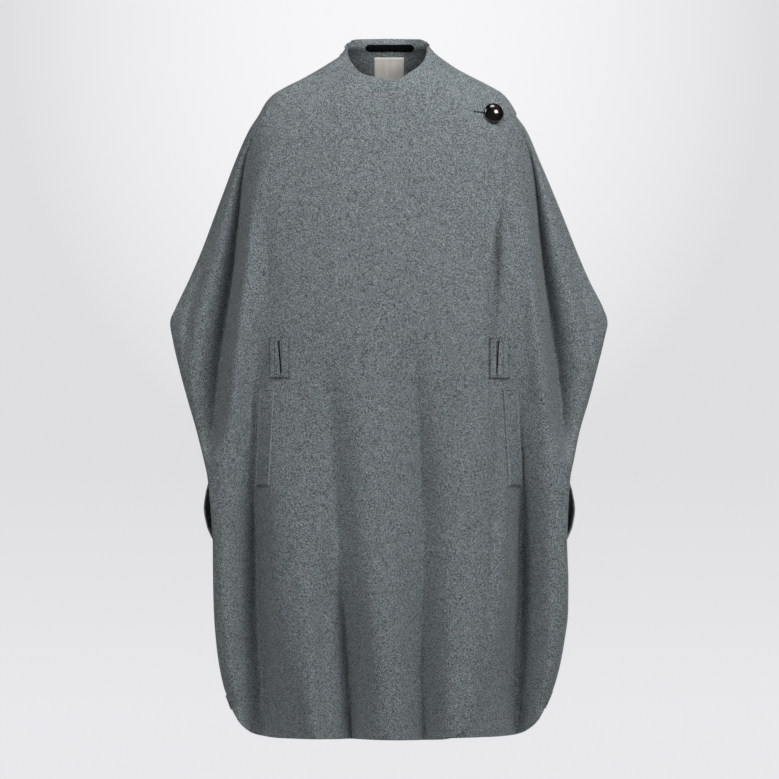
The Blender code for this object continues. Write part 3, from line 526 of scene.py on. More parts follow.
ZONES = [
    shares_of(WING_COLUMNS, WING_GATHER, False),
    shares_of(BODY_COLUMNS, BODY_GATHER, False),
    shares_of(WRAP_COLUMNS, 1, False, EDGE_SHARES),
    shares_of(NEAR_COLUMNS, NEAR_GATHER, True),
    shares_of(WING_COLUMNS, WING_GATHER, True),
]
HIDDEN_COLUMN = len(ZONES[0]) + len(ZONES[1]) - 2
FREE_COLUMN = HIDDEN_COLUMN + len(ZONES[2]) - 1
LAST_COLUMN = sum(len(zone) - 1 for zone in ZONES)
STEPS = sorted(
    set(RIM_ROWS) | set(HEM_ROWS)
    | {step / FINE for step in range(FINE, int(HEM_ROWS[0]) * FINE + 1)})
SHOULDER_STEP = STEPS.index(SHOULDER_ROWS)


def front_places(step, over):
    """The places (x, drop) of one mesh row across the whole front, zone by zone."""
    end, knee, mid, hem = row_end(step), row_knee(step), row_front(step), row_hem(step)
    left, right = -outline_left(end), outline_right(end)
    crease_drop = end + (knee - end) / 3
    crease = zone_line(crease_drop)
    free_drop = knee + (CORNER_HEM[-1].drop * MM - knee) * hem
    hidden, free = hidden_edge(knee), free_edge(free_drop)
    if step == 0:
        crease = zone_line(end)
        hidden, free = HIDDEN_EDGE[0].x * MM, FREE_EDGE[0].x * MM
    stops = [(left, end), (-crease, crease_drop), (hidden, knee), (free, knee),
             (crease, crease_drop), (right, end)]
    places = []
    for zone, shares in enumerate(ZONES):
        (x0, d0), (x1, d1) = stops[zone], stops[zone + 1]
        for share in shares[0 if zone == 0 else 1:]:
            x = x0 + (x1 - x0) * share
            drop = d0 + (d1 - d0) * share
            if zone == 2:
                drop += (mid - knee) * rim_share(x, hidden, free)
            places.append((x, drop))
    if step == 0:
        lower = OVER_RIM_DROP if over else 0
        return [(x, front_rim(x) + lower * smooth(-x / OVER_RIM_BLEND)
                 * smooth((x - hidden) / HIDDEN_RIM_BLEND)) for x, _ in places]
    if hem:
        scale = SIDE_HEM[-1].x * MM / max(-left, right)
        base = ROWS[-1].end * MM
        places = [(x, drop + hem * (hem_curve(x * scale, over and x <= free) - base))
                  for x, drop in places]
    return places


def rim_share(x, low, high):
    """Share of the neckline's dip at a place between the two side zones, 0 at both ends."""
    left, right = HIDDEN_EDGE[0].x * MM, FREE_EDGE[0].x * MM
    at = left + (right - left) * (x - low) / (high - low)
    ends = front_rim(left) + (front_rim(right) - front_rim(left)) * (x - low) / (high - low)
    lowest = max(rim.drop for rim in FRONT_RIM) * MM
    return (front_rim(at) - ends) / (lowest - ends)


def back_places(step, sign):
    """The places (x, drop) of one mesh row of a back half, from the side to the middle seam."""
    end, mid, hem = row_end(step), row_back(step), row_hem(step)
    width = half_width("back", sign, end)
    crease = zone_line(end)
    middle = MIDDLE_GAP / 2
    across = [width + (crease - width) * share for share in ZONES[0]]
    across += [crease + (middle - crease) * share
               for share in shares_of(BACK_COLUMNS, BACK_GATHER, False)[1:]]
    across = sorted(set(across[:-1]) | {middle} | {middle + off for off in SEAM_COLUMNS}, reverse=True)
    places = []
    for x in across:
        drop = end + (mid - end) * (1 - (x / width) ** BACK_ROW_POWER)
        if step == 0:
            drop = back_rim(sign * x)
        if hem:
            drop += hem * (side_hem(x * SIDE_HEM[-1].x * MM / width) - ROWS[-1].end * MM)
        places.append((sign * x, drop))
    return places


def blended(reader, step):
    """A mesh row; those between the rim and the first row under it lie between these two."""
    if not 0 < step < 1:
        return reader(step)
    rim, first = reader(0), reader(1)
    return [(a[0] + (b[0] - a[0]) * step, a[1] + (b[1] - a[1]) * step) for a, b in zip(rim, first)]


def side_is_sewn(drop):
    return SHAPES["front"][3](drop) < SEAM_GAP


def pinned(row, ends, side):
    """The row with its ends set exactly on the outline, so that front and back meet."""
    row = list(row)
    for index in ends:
        x, drop = row[index]
        row[index] = (math.copysign(half_width(side, x, drop), x), drop)
    return row


class Cloth:
    """A grid of points on a panel's outer face, with normals and distances along the grid."""

    def __init__(self, side, rows, sewn_ends, middle_seam=False):
        self.side = side
        self.points = np.array([[place(side, x, drop) for x, drop in row] for row in rows])
        self.normals = self.find_normals()
        for column in sewn_ends:
            self.face_side_plane(column)
        if middle_seam:
            self.normals[:, -1, 0] = 0
            self.normals[:, -1] /= np.linalg.norm(self.normals[:, -1], axis=1)[:, None]
        across = np.linalg.norm(np.diff(self.points, axis=1), axis=2)
        down = np.linalg.norm(np.diff(self.points, axis=0), axis=2)
        self.across = np.concatenate([np.zeros((len(rows), 1)), np.cumsum(across, axis=1)], axis=1)
        self.down = np.concatenate([np.zeros((1, len(rows[0]))), np.cumsum(down, axis=0)], axis=0)
        self.seams = self.seam_distance(sewn_ends, middle_seam)

    def find_normals(self):
        along = np.gradient(self.points, axis=1)
        upward = -np.gradient(self.points, axis=0)
        normals = np.cross(along, upward)
        normals /= np.maximum(np.linalg.norm(normals, axis=2), 1e-12)[:, :, None]
        facing = 1 if self.side == "back" else -1
        if (self.points[0, -1, 0] - self.points[0, 0, 0]) * facing > 0:
            normals *= -1
        turned = normals[:, :, 1] * facing < -0.2
        normals[turned] *= -1
        return normals

    def face_side_plane(self, column):
        """Seam ends face straight out in the side plane, so front and back meet squarely."""
        line = self.points[:, column]
        along = -np.gradient(line, axis=0)
        out = np.stack([along[:, 2], np.zeros(len(line)), -along[:, 0]], axis=1)
        out /= np.maximum(np.linalg.norm(out, axis=1), 1e-12)[:, None]
        out[out[:, 0] * line[:, 0] < 0] *= -1
        for index, point in enumerate(line):
            if side_is_sewn(-point[2]):
                self.normals[index, column] = out[index]

    def seam_distance(self, sewn_ends, middle_seam):
        """Distance of each point from its nearest sewn edge, along the cloth."""
        far = np.full(self.points.shape[:2], 1.0)
        for index, row in enumerate(self.points):
            whole = self.across[index, -1]
            for column in sewn_ends:
                if side_is_sewn(-row[column][2]):
                    away = self.across[index] if column == 0 else whole - self.across[index]
                    far[index] = np.minimum(far[index], away)
            if middle_seam:
                far[index] = np.minimum(far[index], whole - self.across[index])
        return far

    def lifted(self, lifts):
        return self.points + self.normals * lifts[..., None]

    def faces(self, lifts, thickness):
        """Outer and inner points of the wall: a groove outside each seam, its allowances inside."""
        groove = GROOVE * np.exp(-(self.seams / GROOVE_WIDTH) ** 2)
        pressed = np.clip((ALLOWANCE_WIDTH - self.seams) / (2.5 * MM), 0, 1) * ALLOWANCE
        lifts = np.broadcast_to(lifts, groove.shape)
        return self.lifted(lifts - groove), self.lifted(lifts - thickness - pressed + groove)


def make_object(name, verts, faces, uvs, look):
    data = bpy.data.meshes.new(name)
    data.from_pydata([tuple(vert) for vert in verts], [], faces)
    layer = data.uv_layers.new(name="cloth")
    corners = np.array([uvs[index] for face in faces for index in face], np.float32)
    layer.data.foreach_set("uv", corners.ravel())
    data.materials.append(look)
    closed = bmesh.new()
    closed.from_mesh(data)
    bmesh.ops.recalc_face_normals(closed, faces=closed.faces)
    closed.to_mesh(data)
    closed.free()
    data.shade_smooth()
    data.update()
    item = bpy.data.objects.new(name, data)
    bpy.context.collection.objects.link(item)
    return item


def cloth_wall(name, outer, inner, cells, uvs, look, roll, straight=lambda i, j: False):
    """A closed cloth wall from two matching grids; its free edges are rolled, sewn ones straight."""
    rows, columns = outer.shape[:2]
    chosen = np.zeros((rows + 1, columns + 1), bool)
    for i, j in cells:
        chosen[i + 1, j + 1] = True
    verts, coords, index = [], [], {}

    def vert(kind, i, j, point):
        key = (kind, i, j)
        if key not in index:
            index[key] = len(verts)
            verts.append(point)
            coords.append(uvs[i, j])
        return index[key]

    faces, borders, away = [], [], {}
    for i, j in cells:
        ring = [(i, j), (i + 1, j), (i + 1, j + 1), (i, j + 1)]
        faces.append([vert("out", *spot, outer[spot]) for spot in ring])
        faces.append([vert("in", *spot, inner[spot]) for spot in reversed(ring)])
        sides = [((i, j - 1), 0, 1), ((i + 1, j), 1, 2), ((i, j + 1), 2, 3), ((i - 1, j), 3, 0)]
        centre = (outer[ring[0]] + outer[ring[2]]) / 2
        for neighbour, a, b in sides:
            if chosen[neighbour[0] + 1, neighbour[1] + 1]:
                continue
            borders.append((ring[a], ring[b]))
            edge = outer[ring[b]] - outer[ring[a]]
            edge /= max(np.linalg.norm(edge), 1e-9)
            out = (outer[ring[a]] + outer[ring[b]]) / 2 - centre
            out -= edge * out.dot(edge)
            out /= max(np.linalg.norm(out), 1e-9)
            for spot in (ring[a], ring[b]):
                away[spot] = away.get(spot, 0) + out

    def rim(spot):
        direction = away[spot] / max(np.linalg.norm(away[spot]), 1e-9)
        bulge = 0 if straight(*spot) else roll
        made = [vert("out", *spot, outer[spot])]
        for t in RIM_PROFILE:
            point = outer[spot] * (1 - t) + inner[spot] * t + direction * bulge * 4 * t * (1 - t)
            made.append(vert(t, *spot, point))
        return made + [vert("in", *spot, inner[spot])]

    for a, b in borders:
        first, second = rim(a), rim(b)
        for k in range(len(first) - 1):
            faces.append([second[k], first[k], first[k + 1], second[k + 1]])
    return make_object(name, verts, faces, coords, look)


# Panels

@lru_cache(maxsize=None)
def front_cloth(over):
    rows = [pinned(blended(lambda at: front_places(at, over), step), (0, -1), "front") for step in STEPS]
    return Cloth("front" if over else "under", rows, (0, -1))


@lru_cache(maxsize=None)
def back_cloth(sign):
    rows = [pinned(blended(lambda at: back_places(at, sign), step), (0,), "back") for step in STEPS]
    return Cloth("back", rows, (0,), True)


def over_lifts():
    """How far the over front stands off the under front, by column."""
    start = HIDDEN_COLUMN - RISE_COLUMNS * FINE
    full = CLOTH + LAYER_GAP
    return np.array([full * smooth((j - start) / (RISE_COLUMNS * FINE)) for j in range(LAST_COLUMN + 1)])


@lru_cache(maxsize=None)
def over_faces():
    return front_cloth(True).faces(over_lifts(), CLOTH)


@lru_cache(maxsize=None)
def under_faces():
    return front_cloth(False).faces(np.zeros(LAST_COLUMN + 1), CLOTH)


@lru_cache(maxsize=None)
def back_faces(sign):
    cloth = back_cloth(sign)
    return cloth.faces(np.zeros(cloth.points.shape[1]), CLOTH)


def uvs_of(cloth):
    """Distances across and down the cloth, in metres, for patterns that follow it."""
    return np.stack([cloth.across, -cloth.down], axis=2)


def front_panel(name, over, look):
    cloth = front_cloth(over)
    outer, inner = over_faces() if over else under_faces()
    if over:
        cells = [(i, j) for i in range(len(STEPS) - 1) for j in range(LAST_COLUMN)
                 if j < FREE_COLUMN or i < SHOULDER_STEP]
    else:
        cells = [(i, j) for i in range(len(STEPS) - 1) for j in range(HIDDEN_COLUMN, LAST_COLUMN)]

    def sewn(i, j):
        return j in (0, LAST_COLUMN) and side_is_sewn(-cloth.points[i, j, 2])
    return cloth_wall(name, outer, inner, cells, uvs_of(cloth), look, EDGE_ROLL, sewn)


def back_panel(name, sign, look):
    cloth = back_cloth(sign)
    outer, inner = back_faces(sign)
    last = cloth.points.shape[1] - 1
    cells = [(i, j) for i in range(len(STEPS) - 1) for j in range(last)]

    def sewn(i, j):
        return j == last or (j == 0 and side_is_sewn(-cloth.points[i, j, 2]))
    return cloth_wall(name, outer, inner, cells, uvs_of(cloth), look, EDGE_ROLL, sewn)


class Skin:
    """One face of a wall, for placing the pieces that lie on it; found from a plane before it."""

    def __init__(self, grids, plane_y):
        verts, faces = [], []
        for grid in grids:
            start, wide = len(verts), grid.shape[1]
            verts += [tuple(point) for point in grid.reshape(-1, 3)]
            for i in range(grid.shape[0] - 1):
                for j in range(wide - 1):
                    a = start + i * wide + j
                    faces.append((a, a + wide, a + wide + 1, a + 1))
        self.tree = BVHTree.FromPolygons(verts, faces)
        self.plane_y = plane_y

    def find(self, x, drop):
        for nudge in (0, SEAM_GAP, -SEAM_GAP):
            hit = self.tree.ray_cast(Vector((x + nudge, self.plane_y, -drop)), Vector((0, 1, 0)))
            if hit[0] is not None:
                return Vector((x, hit[0].y, -drop))
        return None

    def point(self, x, drop):
        found = self.find(x, drop)
        if found is None:
            raise ValueError(f"no cloth at {x:.3f}, {drop:.3f}")
        return found

    def normal(self, x, drop, reach=NORMAL_REACH):
        """The skin's lean round a place, toward the front; past its rim the place itself counts."""
        here = self.point(x, drop)
        right, left, up, down = [
            self.find(x + dx, drop + dd) or here
            for dx, dd in ((reach, 0), (-reach, 0), (0, -reach), (0, reach))]
        normal = (right - left).cross(up - down).normalized()
        return normal if normal.y < 0 else -normal


@lru_cache(maxsize=None)
def chest_skin():
    outer = over_faces()[0]
    return Skin([outer[:, :FREE_COLUMN + 1], outer[:SHOULDER_STEP + 1, FREE_COLUMN:]], -1)


@lru_cache(maxsize=None)
def side_skin():
    return Skin([under_faces()[0][:, HIDDEN_COLUMN:]], -1)


@lru_cache(maxsize=None)
def inside_back_skin():
    return Skin([back_faces(-1)[1], back_faces(1)[1]], 0)


def strip_place(strip, s, t):
    """Place (x, drop) on a strip: s runs across it and t down it, each from 0 to 1."""
    middle = strip.x_top + (strip.x_low - strip.x_top) * t
    x = (middle + strip.width * (s - 0.5)) * MM
    return x, (strip.drop_top + (strip.drop_low - strip.drop_top) * t) * MM


def laid_piece(name, skin, strip, spacing, under, height, look, narrower=lambda t: 0):
    """A piece that lies on a skin; under and height give its two faces by distance from its edges."""
    wide, long = strip.width * MM, (strip.drop_low - strip.drop_top) * MM
    across, along = max(8, round(wide / spacing)), max(8, round(long / spacing))
    outer, inner, uvs = [], [], []
    for i in range(along + 1):
        t = i / along
        rows = ([], [], [])
        for j in range(across + 1):
            s = j / across
            inset = narrower(t)
            x, drop = strip_place(strip, inset + s * (1 - 2 * inset), t)
            point, normal = skin.point(x, drop), skin.normal(x, drop)
            edges = (s * wide, (1 - s) * wide, min(t, 1 - t) * long)
            low = PATCH_GAP + under(*edges)
            rows[0].append(point + normal * (low + height(*edges)))
            rows[1].append(point + normal * low)
            rows[2].append((x, -drop))
        outer.append(rows[0])
        inner.append(rows[1])
        uvs.append(rows[2])
    cells = [(i, j) for i in range(along) for j in range(across)]
    return cloth_wall(name, np.array(outer), np.array(inner), cells, np.array(uvs), look, LAID_ROLL)


def rounded(edge, radius):
    """Share of a piece's full height near a turned edge."""
    return math.sqrt(max(0, 1 - max(0, 1 - edge / radius) ** 2))


def stitch_groove(edge):
    """How far the thread draws a piece in along its stitching line."""
    return STITCH_GROOVE * math.exp(-((edge - STITCH_INSET) / STITCH_GROOVE_WIDTH) ** 2)


def patch_height(left, right, end):
    edge = min(left, right, end)
    return PATCH_CLOTH * (0.35 + 0.65 * rounded(edge, PATCH_EDGE)) - stitch_groove(edge)


def welt_height(mouth, sewn, end):
    edge = min(mouth, sewn, end)
    body = PATCH_CLOTH * (0.3 + 0.7 * rounded(edge, WELT_EDGE))
    swell = MOUTH_SWELL * smooth((MOUTH_SWELL_WIDTH - mouth) / MOUTH_SWELL_WIDTH)
    return body + swell - stitch_groove(min(sewn, end))


def welt_lift(mouth, sewn, end):
    """The welt stands open along its mouth, but its ends are sewn down."""
    return WELT_OPENING * smooth((MOUTH_WIDTH - mouth) / MOUTH_WIDTH) * smooth((end - END_SEWN) / END_BLEND)


def flat_cloth(thickness):
    return lambda left, right, end: thickness * (0.5 + 0.5 * rounded(min(left, right, end), TRIM_EDGE))


def slit_cutter(name, skin, slit):
    """A hidden block that cuts a slit; its long side leans with the slit."""
    top = skin.point(slit.x_top * MM, slit.top * MM)
    low = skin.point(slit.x_low * MM, (slit.top + slit.length) * MM)
    lean = Matrix.Rotation(math.atan2(slit.x_top - slit.x_low, slit.length), 4, "Y")
    bpy.ops.mesh.primitive_cube_add(size=1)
    block = bpy.context.object
    block.name = name
    block.data.transform(
        Matrix.Translation((top + low) / 2) @ lean
        @ Matrix.Diagonal((slit.width * MM, SLIT_CUT, slit.length * MM, 1)))
    return block


def hole_cutter(seat):
    """A hidden block that cuts the buttonhole: a slit toward the chest with a round eye at its end."""
    side = HOLE_WIDTH / 2
    opening = math.asin(side / HOLE_RADIUS)
    sweep = 2 * (math.pi - opening)
    turns = [math.pi + opening + sweep * step / HOLE_STEPS for step in range(HOLE_STEPS + 1)]
    ring = [(HOLE_RADIUS * math.cos(turn), HOLE_RADIUS * math.sin(turn)) for turn in turns]
    ring += [(-HOLE_LENGTH, side), (-HOLE_LENGTH, -side)]
    verts = [(x, y, height) for height in (-HOLE_CUT, HOLE_CUT) for x, y in ring]
    count = len(ring)
    faces = [[k, (k + 1) % count, (k + 1) % count + count, k + count] for k in range(count)]
    faces += [list(range(count - 1, -1, -1)), list(range(count, 2 * count))]
    data = bpy.data.meshes.new("buttonhole_cutter")
    data.from_pydata(verts, [], faces)
    data.transform(Matrix.Translation(seat) @ button_turn())
    block = bpy.data.objects.new("buttonhole_cutter", data)
    bpy.context.collection.objects.link(block)
    return block


def cut(item, cutter):
    """Cuts a piece with a block, for good."""
    modifier = item.modifiers.new("cut", "BOOLEAN")
    modifier.operation = "DIFFERENCE"
    modifier.solver = "EXACT"
    modifier.object = cutter
    pick(item)
    bpy.ops.object.modifier_apply(modifier=modifier.name)


def pick(*items):
    bpy.ops.object.select_all(action="DESELECT")
    for item in items:
        item.select_set(True)
    bpy.context.view_layer.objects.active = items[0]


def settle(item, node):
    """A finished piece rides on the coat and stands for its solid, which is hidden."""
    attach(item, "root")
    if node:
        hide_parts(node)


# Stitches

def thread_stitch(look):
    """One stitch of thread, a small rounded bar along X."""
    bpy.ops.mesh.primitive_uv_sphere_add(segments=6, ring_count=5, radius=1)
    stitch = bpy.context.object
    stitch.data.materials.append(look)
    bpy.ops.object.shade_smooth()
    return stitch


def sew(name, runs, length, pitch, thickness, look):
    """Stitches along runs of (points, normals), all in one piece of thread."""
    model = thread_stitch(look)
    verts = np.array([vert.co for vert in model.data.vertices])
    faces = [tuple(face.vertices) for face in model.data.polygons]
    bpy.data.objects.remove(model)
    all_verts, all_faces = [], []
    for points, normals in runs:
        lengths = [0]
        for a, b in zip(points, points[1:]):
            lengths.append(lengths[-1] + (b - a).length)
        count = max(1, round(lengths[-1] / pitch))
        for k in range(count):
            at = (k + 0.5) * lengths[-1] / count
            index = min(len(points) - 2, bisect_left(lengths, at) - 1)
            share = (at - lengths[index]) / max(lengths[index + 1] - lengths[index], 1e-9)
            middle = points[index].lerp(points[index + 1], share)
            along = (points[index + 1] - points[index]).normalized()
            normal = normals[index].lerp(normals[index + 1], share).normalized()
            side = normal.cross(along).normalized()
            axes = (along * length / 2, side * thickness / 2, normal * thickness / 2)
            turn = np.array(Matrix(axes).transposed())
            start = len(all_verts)
            all_verts += [tuple(vert) for vert in verts @ turn.T + np.array(middle)]
            all_faces += [tuple(start + corner for corner in face) for face in faces]
    data = bpy.data.meshes.new(name)
    data.from_pydata(all_verts, [], all_faces)
    data.materials.append(look)
    data.shade_smooth()
    item = bpy.data.objects.new(name, data)
    bpy.context.collection.objects.link(item)
    return item


def run_on(skin, places, lift):
    """A stitching line through places (x, drop), lifted off a skin."""
    points, normals = [], []
    for (xa, da), (xb, db) in zip(places, places[1:]):
        steps = max(1, round(math.hypot(xb - xa, db - da) / (3 * MM)))
        for k in range(steps):
            x, drop = xa + (xb - xa) * k / steps, da + (db - da) * k / steps
            normal = skin.normal(x, drop)
            points.append(skin.point(x, drop) + normal * lift)
            normals.append(normal)
    x, drop = places[-1]
    normals.append(skin.normal(x, drop))
    points.append(skin.point(x, drop) + normals[-1] * lift)
    return points, normals


def strip_corners(strip, inset, sides):
    """Corners of a strip's stitching line, inset from its edges, in the order asked."""
    across, along = inset / (strip.width * MM), inset / ((strip.drop_low - strip.drop_top) * MM)
    spots = {"tl": (across, along), "tr": (1 - across, along),
             "br": (1 - across, 1 - along), "bl": (across, 1 - along)}
    return [strip_place(strip, *spots[side]) for side in sides]


# Materials

def new_look(name, **values):
    made = bpy.data.materials.new(name)
    made.use_nodes = True
    shader = made.node_tree.nodes["Principled BSDF"]
    for key, value in values.items():
        shader.inputs[key.replace("_", " ")].default_value = value
    return made, made.node_tree, shader


def add(tree, kind, label, inputs=None, **settings):
    node = tree.nodes.new(kind)
    node.label = label
    for key, value in settings.items():
        setattr(node, key, value)
    for key, value in (inputs or {}).items():
        if isinstance(value, bpy.types.NodeSocket):
            tree.links.new(value, node.inputs[key])
        else:
            node.inputs[key].default_value = value
    return node


def noise(tree, label, coords, scale, detail=2.0, roughness=0.6):
    node = add(tree, "ShaderNodeTexNoise", label, {
        "Vector": coords, "Scale": scale, "Detail": detail, "Roughness": roughness})
    return node.outputs["Fac"]


def mixed(tree, label, parts):
    """A sum of noises about the middle grey, each with its own share."""
    total = None
    for fac, share in parts:
        centred = add(tree, "ShaderNodeMath", label, {0: fac, 1: 0.5}, operation="SUBTRACT").outputs[0]
        start = 0.5 if total is None else total
        total = add(tree, "ShaderNodeMath", label, {0: centred, 1: share, 2: start},
                    operation="MULTIPLY_ADD").outputs[0]
    return total


def ramp(tree, label, fac, stops):
    node = add(tree, "ShaderNodeValToRGB", label, {"Fac": fac})
    elements = node.color_ramp.elements
    while len(elements) < len(stops):
        elements.new(0.5)
    for element, (position, colour) in zip(elements, stops):
        element.position = position
        element.color = (*colour, 1)
    return node.outputs["Color"]


def paint(tree, shader, colour, height=None, strength=0, distance=0):
    """Gives a look its colour, and a fine relief where it has one."""
    tree.links.new(colour, shader.inputs["Base Color"])
    if height is not None:
        bump = add(tree, "ShaderNodeBump", "relief", {
            "Strength": strength, "Distance": distance, "Height": height})
        tree.links.new(bump.outputs["Normal"], shader.inputs["Normal"])


def on_object(tree):
    return tree.nodes.new("ShaderNodeTexCoord").outputs["Object"]


@lru_cache(maxsize=None)
def wool_look():
    """Felted melange wool: pale and dark fibres mixed, in a short matt nap."""
    look = bpy.context.scene.coat_wool
    made, tree, shader = new_look(
        "wool", Roughness=0.92, Sheen_Weight=look.sheen, Sheen_Roughness=0.45, Specular_IOR_Level=0.22)
    coords = tree.nodes.new("ShaderNodeTexCoord")
    place, along = coords.outputs["Object"], coords.outputs["UV"]
    drawn = add(tree, "ShaderNodeMapping", "fibres drawn out down the cloth", {
        "Vector": along, "Scale": (900, 420, 1)}).outputs["Vector"]
    fibres = noise(tree, "fibres", drawn, 1.0, 1.5)
    flecks = noise(tree, "flecks", place, 950, 2.0, 0.85)
    mottle = noise(tree, "mottling", place, 330, 2.0)
    clouds = noise(tree, "clouding", place, 90, 1.0)
    tone = mixed(tree, "melange", [
        (flecks, look.flecks), (fibres, look.fibres), (mottle, look.mottling), (clouds, look.clouding)])
    colour = ramp(tree, "fibre colours", tone, [
        (0.0, look.dark), (0.5, look.middle), (1.0, look.pale)])
    tint = ramp(tree, "dye", noise(tree, "dye patches", place, 260, 1.5), [
        (0.36, (0.965, 1.015, 1.00)), (0.64, (1.02, 0.99, 1.02))])
    mix = tree.nodes.new("ShaderNodeMix")
    mix.data_type, mix.blend_type = "RGBA", "MULTIPLY"
    mix.inputs["Factor"].default_value = 1
    tree.links.new(colour, mix.inputs[6])
    tree.links.new(tint, mix.inputs[7])
    nap = mixed(tree, "nap", [(flecks, 0.7), (fibres, 0.5)])
    paint(tree, shader, mix.outputs[2], nap, look.nap, 1.2 * MM)
    return made


@lru_cache(maxsize=None)
def thread_and_edge_shade_look():
    """Matt sewing thread, much darker than the wool: partly its own colour and partly painted shade, so that
    its runs round the patches draw the shade line along their edges.
    """
    made, tree, shader = new_look("thread", Roughness=0.75, Sheen_Weight=0.1)
    coords = on_object(tree)
    colour = ramp(tree, "thread and edge shade colours", noise(tree, "plies", coords, 1400, 1.0), [
        (0.3, (0.016, 0.020, 0.022)), (0.7, (0.050, 0.060, 0.064))])
    paint(tree, shader, colour)
    return made


@lru_cache(maxsize=None)
def pressed_edge_highlight_look():
    """Wool along a pressed edge, coloured paler as a painted highlight where the folded edge catches the
    light.
    """
    made, tree, shader = new_look("pressed_edge_painted_highlight", Roughness=0.8, Sheen_Weight=0.1)
    coords = on_object(tree)
    colour = ramp(tree, "pressed edge highlight colours", noise(tree, "highlight grain", coords, 700, 2.0), [
        (0.3, (0.210, 0.244, 0.254)), (0.7, (0.450, 0.490, 0.500))])
    paint(tree, shader, colour)
    return made


@lru_cache(maxsize=None)
def tape_look():
    """Black woven tape with a fine rib across it."""
    made, tree, shader = new_look("black_tape", Roughness=0.85, Specular_IOR_Level=0.12)
    coords = on_object(tree)
    rib = add(tree, "ShaderNodeTexWave", "rib", {
        "Vector": coords, "Scale": 900.0, "Distortion": 0.6, "Detail": 1.0},
        wave_type="BANDS", bands_direction="X").outputs["Fac"]
    colour = ramp(tree, "tape colours", rib, [
        (0.0, (0.0012, 0.0018, 0.0024)), (1.0, (0.0045, 0.0060, 0.0072))])
    paint(tree, shader, colour, rib, 0.4, 0.3 * MM)
    return made


@lru_cache(maxsize=None)
def label_look():
    """Bare label cloth in a pale twill."""
    made, tree, shader = new_look("label", Roughness=0.8, Sheen_Weight=0.1)
    coords = on_object(tree)
    turned = add(tree, "ShaderNodeMapping", "twill lines", {
        "Vector": coords, "Rotation": (0, math.radians(38), 0)}).outputs["Vector"]
    twill = add(tree, "ShaderNodeTexWave", "twill", {
        "Vector": turned, "Scale": 700.0, "Distortion": 0.5, "Detail": 1.0},
        wave_type="BANDS", bands_direction="X").outputs["Fac"]
    slubs = noise(tree, "slubs", coords, 420, 2.0)
    tone = mixed(tree, "cloth tone", [(twill, 0.35), (slubs, 0.5)])
    colour = ramp(tree, "label colours", tone, [(0.2, (0.88, 0.82, 0.77)), (0.8, (0.97, 0.93, 0.88))])
    paint(tree, shader, colour, tone, 0.35, 0.3 * MM)
    return made


@lru_cache(maxsize=None)
def horn_look():
    """Polished dark horn with faint brown bands."""
    made, tree, shader = new_look("dark_horn", Roughness=0.12, Coat_Weight=0.6, Coat_Roughness=0.04)
    coords = on_object(tree)
    stretched = add(tree, "ShaderNodeMapping", "horn bands", {
        "Vector": coords, "Scale": (1.0, 1.0, 0.28), "Rotation": (0, math.radians(20), 0)}).outputs["Vector"]
    bands = noise(tree, "bands", stretched, 95, 3.0)
    colour = ramp(tree, "horn colours", bands, [
        (0.35, (0.0035, 0.0030, 0.0028)), (0.55, (0.010, 0.0065, 0.0055)), (0.75, (0.050, 0.024, 0.017))])
    paint(tree, shader, colour)
    return made


def colour_setting(name, description, default):
    return FloatVectorProperty(
        name=name, description=description, subtype="COLOR", size=3, min=0, max=1, default=default)


def level_setting(name, description, default, top):
    return FloatProperty(name=name, description=description, default=default, min=0, max=top)


def power_setting(name, description, default):
    return FloatProperty(name=name, description=description, default=default, min=0, unit="POWER")


class WoolLook(bpy.types.PropertyGroup):
    dark: colour_setting("Dark fibres", "Colour of the darkest fibres", (0.012, 0.018, 0.020))
    middle: colour_setting("Middle tone", "Colour that the cloth has from a distance", (0.150, 0.180, 0.190))
    pale: colour_setting("Pale fibres", "Colour of the palest fibres", (0.52, 0.56, 0.57))
    flecks: level_setting("Flecks", "Strength of the fine flecks", 6.5, 8)
    fibres: level_setting("Fibres", "Strength of the drawn-out fibres", 1.0, 4)
    mottling: level_setting("Mottling", "Strength of the mottling", 0.5, 4)
    clouding: level_setting("Clouding", "Strength of the wide clouding", 0.2, 4)
    sheen: level_setting("Sheen", "Soft shine of the nap", 0.12, 1)
    nap: level_setting("Nap", "Depth of the nap", 0.45, 1)


class StudioLook(bpy.types.PropertyGroup):
    paper: colour_setting("Paper", "Colour of the backdrop", (0.735, 0.735, 0.752))
    paper_low: colour_setting("Paper below", "Colour of the backdrop below the hem", (0.81, 0.81, 0.835))
    paper_glow: colour_setting("Paper glow", "Colour of the backdrop round the neck", (0.93, 0.93, 0.945))
    fill: level_setting("Fill", "Strength of the light from all round", 0.04, 5)
    key: power_setting("Key", "Power of the large front lights", 30.5)
    top: power_setting("Top", "Power of the light above", 11)
    spark: power_setting("Spark", "Power of the small light that the button mirrors", 24)
    back: power_setting("Back", "Power of the light behind the coat", 26)
    distance: FloatProperty(name="Camera distance", description="Distance of the camera from the coat",
                            default=24, min=1, unit="LENGTH")


class COAT_OT_fronts(bpy.types.Operator):
    """Build the two crossed fronts, with the belt slots, pocket mouths and buttonhole cut through"""
    bl_idname = "coat.fronts"
    bl_label = "Fronts"

    def execute(self, context):
        wool = wool_look()
        over = front_panel("over_front", True, wool)
        under = front_panel("under_front", False, wool)
        for item, skin, hand in ((over, chest_skin(), "left"), (under, side_skin(), "right")):
            for name, slits in (("slot_cutter", SLOTS), ("mouth_cutter", MOUTHS)):
                cutter = slit_cutter(name, skin, slits[hand])
                cut(item, cutter)
                bpy.data.objects.remove(cutter)
        cutter = hole_cutter(chest_skin().point(*BUTTON_PLACE))
        cut(over, cutter)
        bpy.data.objects.remove(cutter)
        settle(over, "front_over")
        settle(under, "front_under")
        return {"FINISHED"}


class COAT_OT_backs(bpy.types.Operator):
    """Build the two halves of the back"""
    bl_idname = "coat.backs"
    bl_label = "Back halves"

    def execute(self, context):
        for name, node, sign in (("left_back", "back_left", -1), ("right_back", "back_right", 1)):
            item = back_panel(name, sign, wool_look())
            settle(item, node)
        return {"FINISHED"}


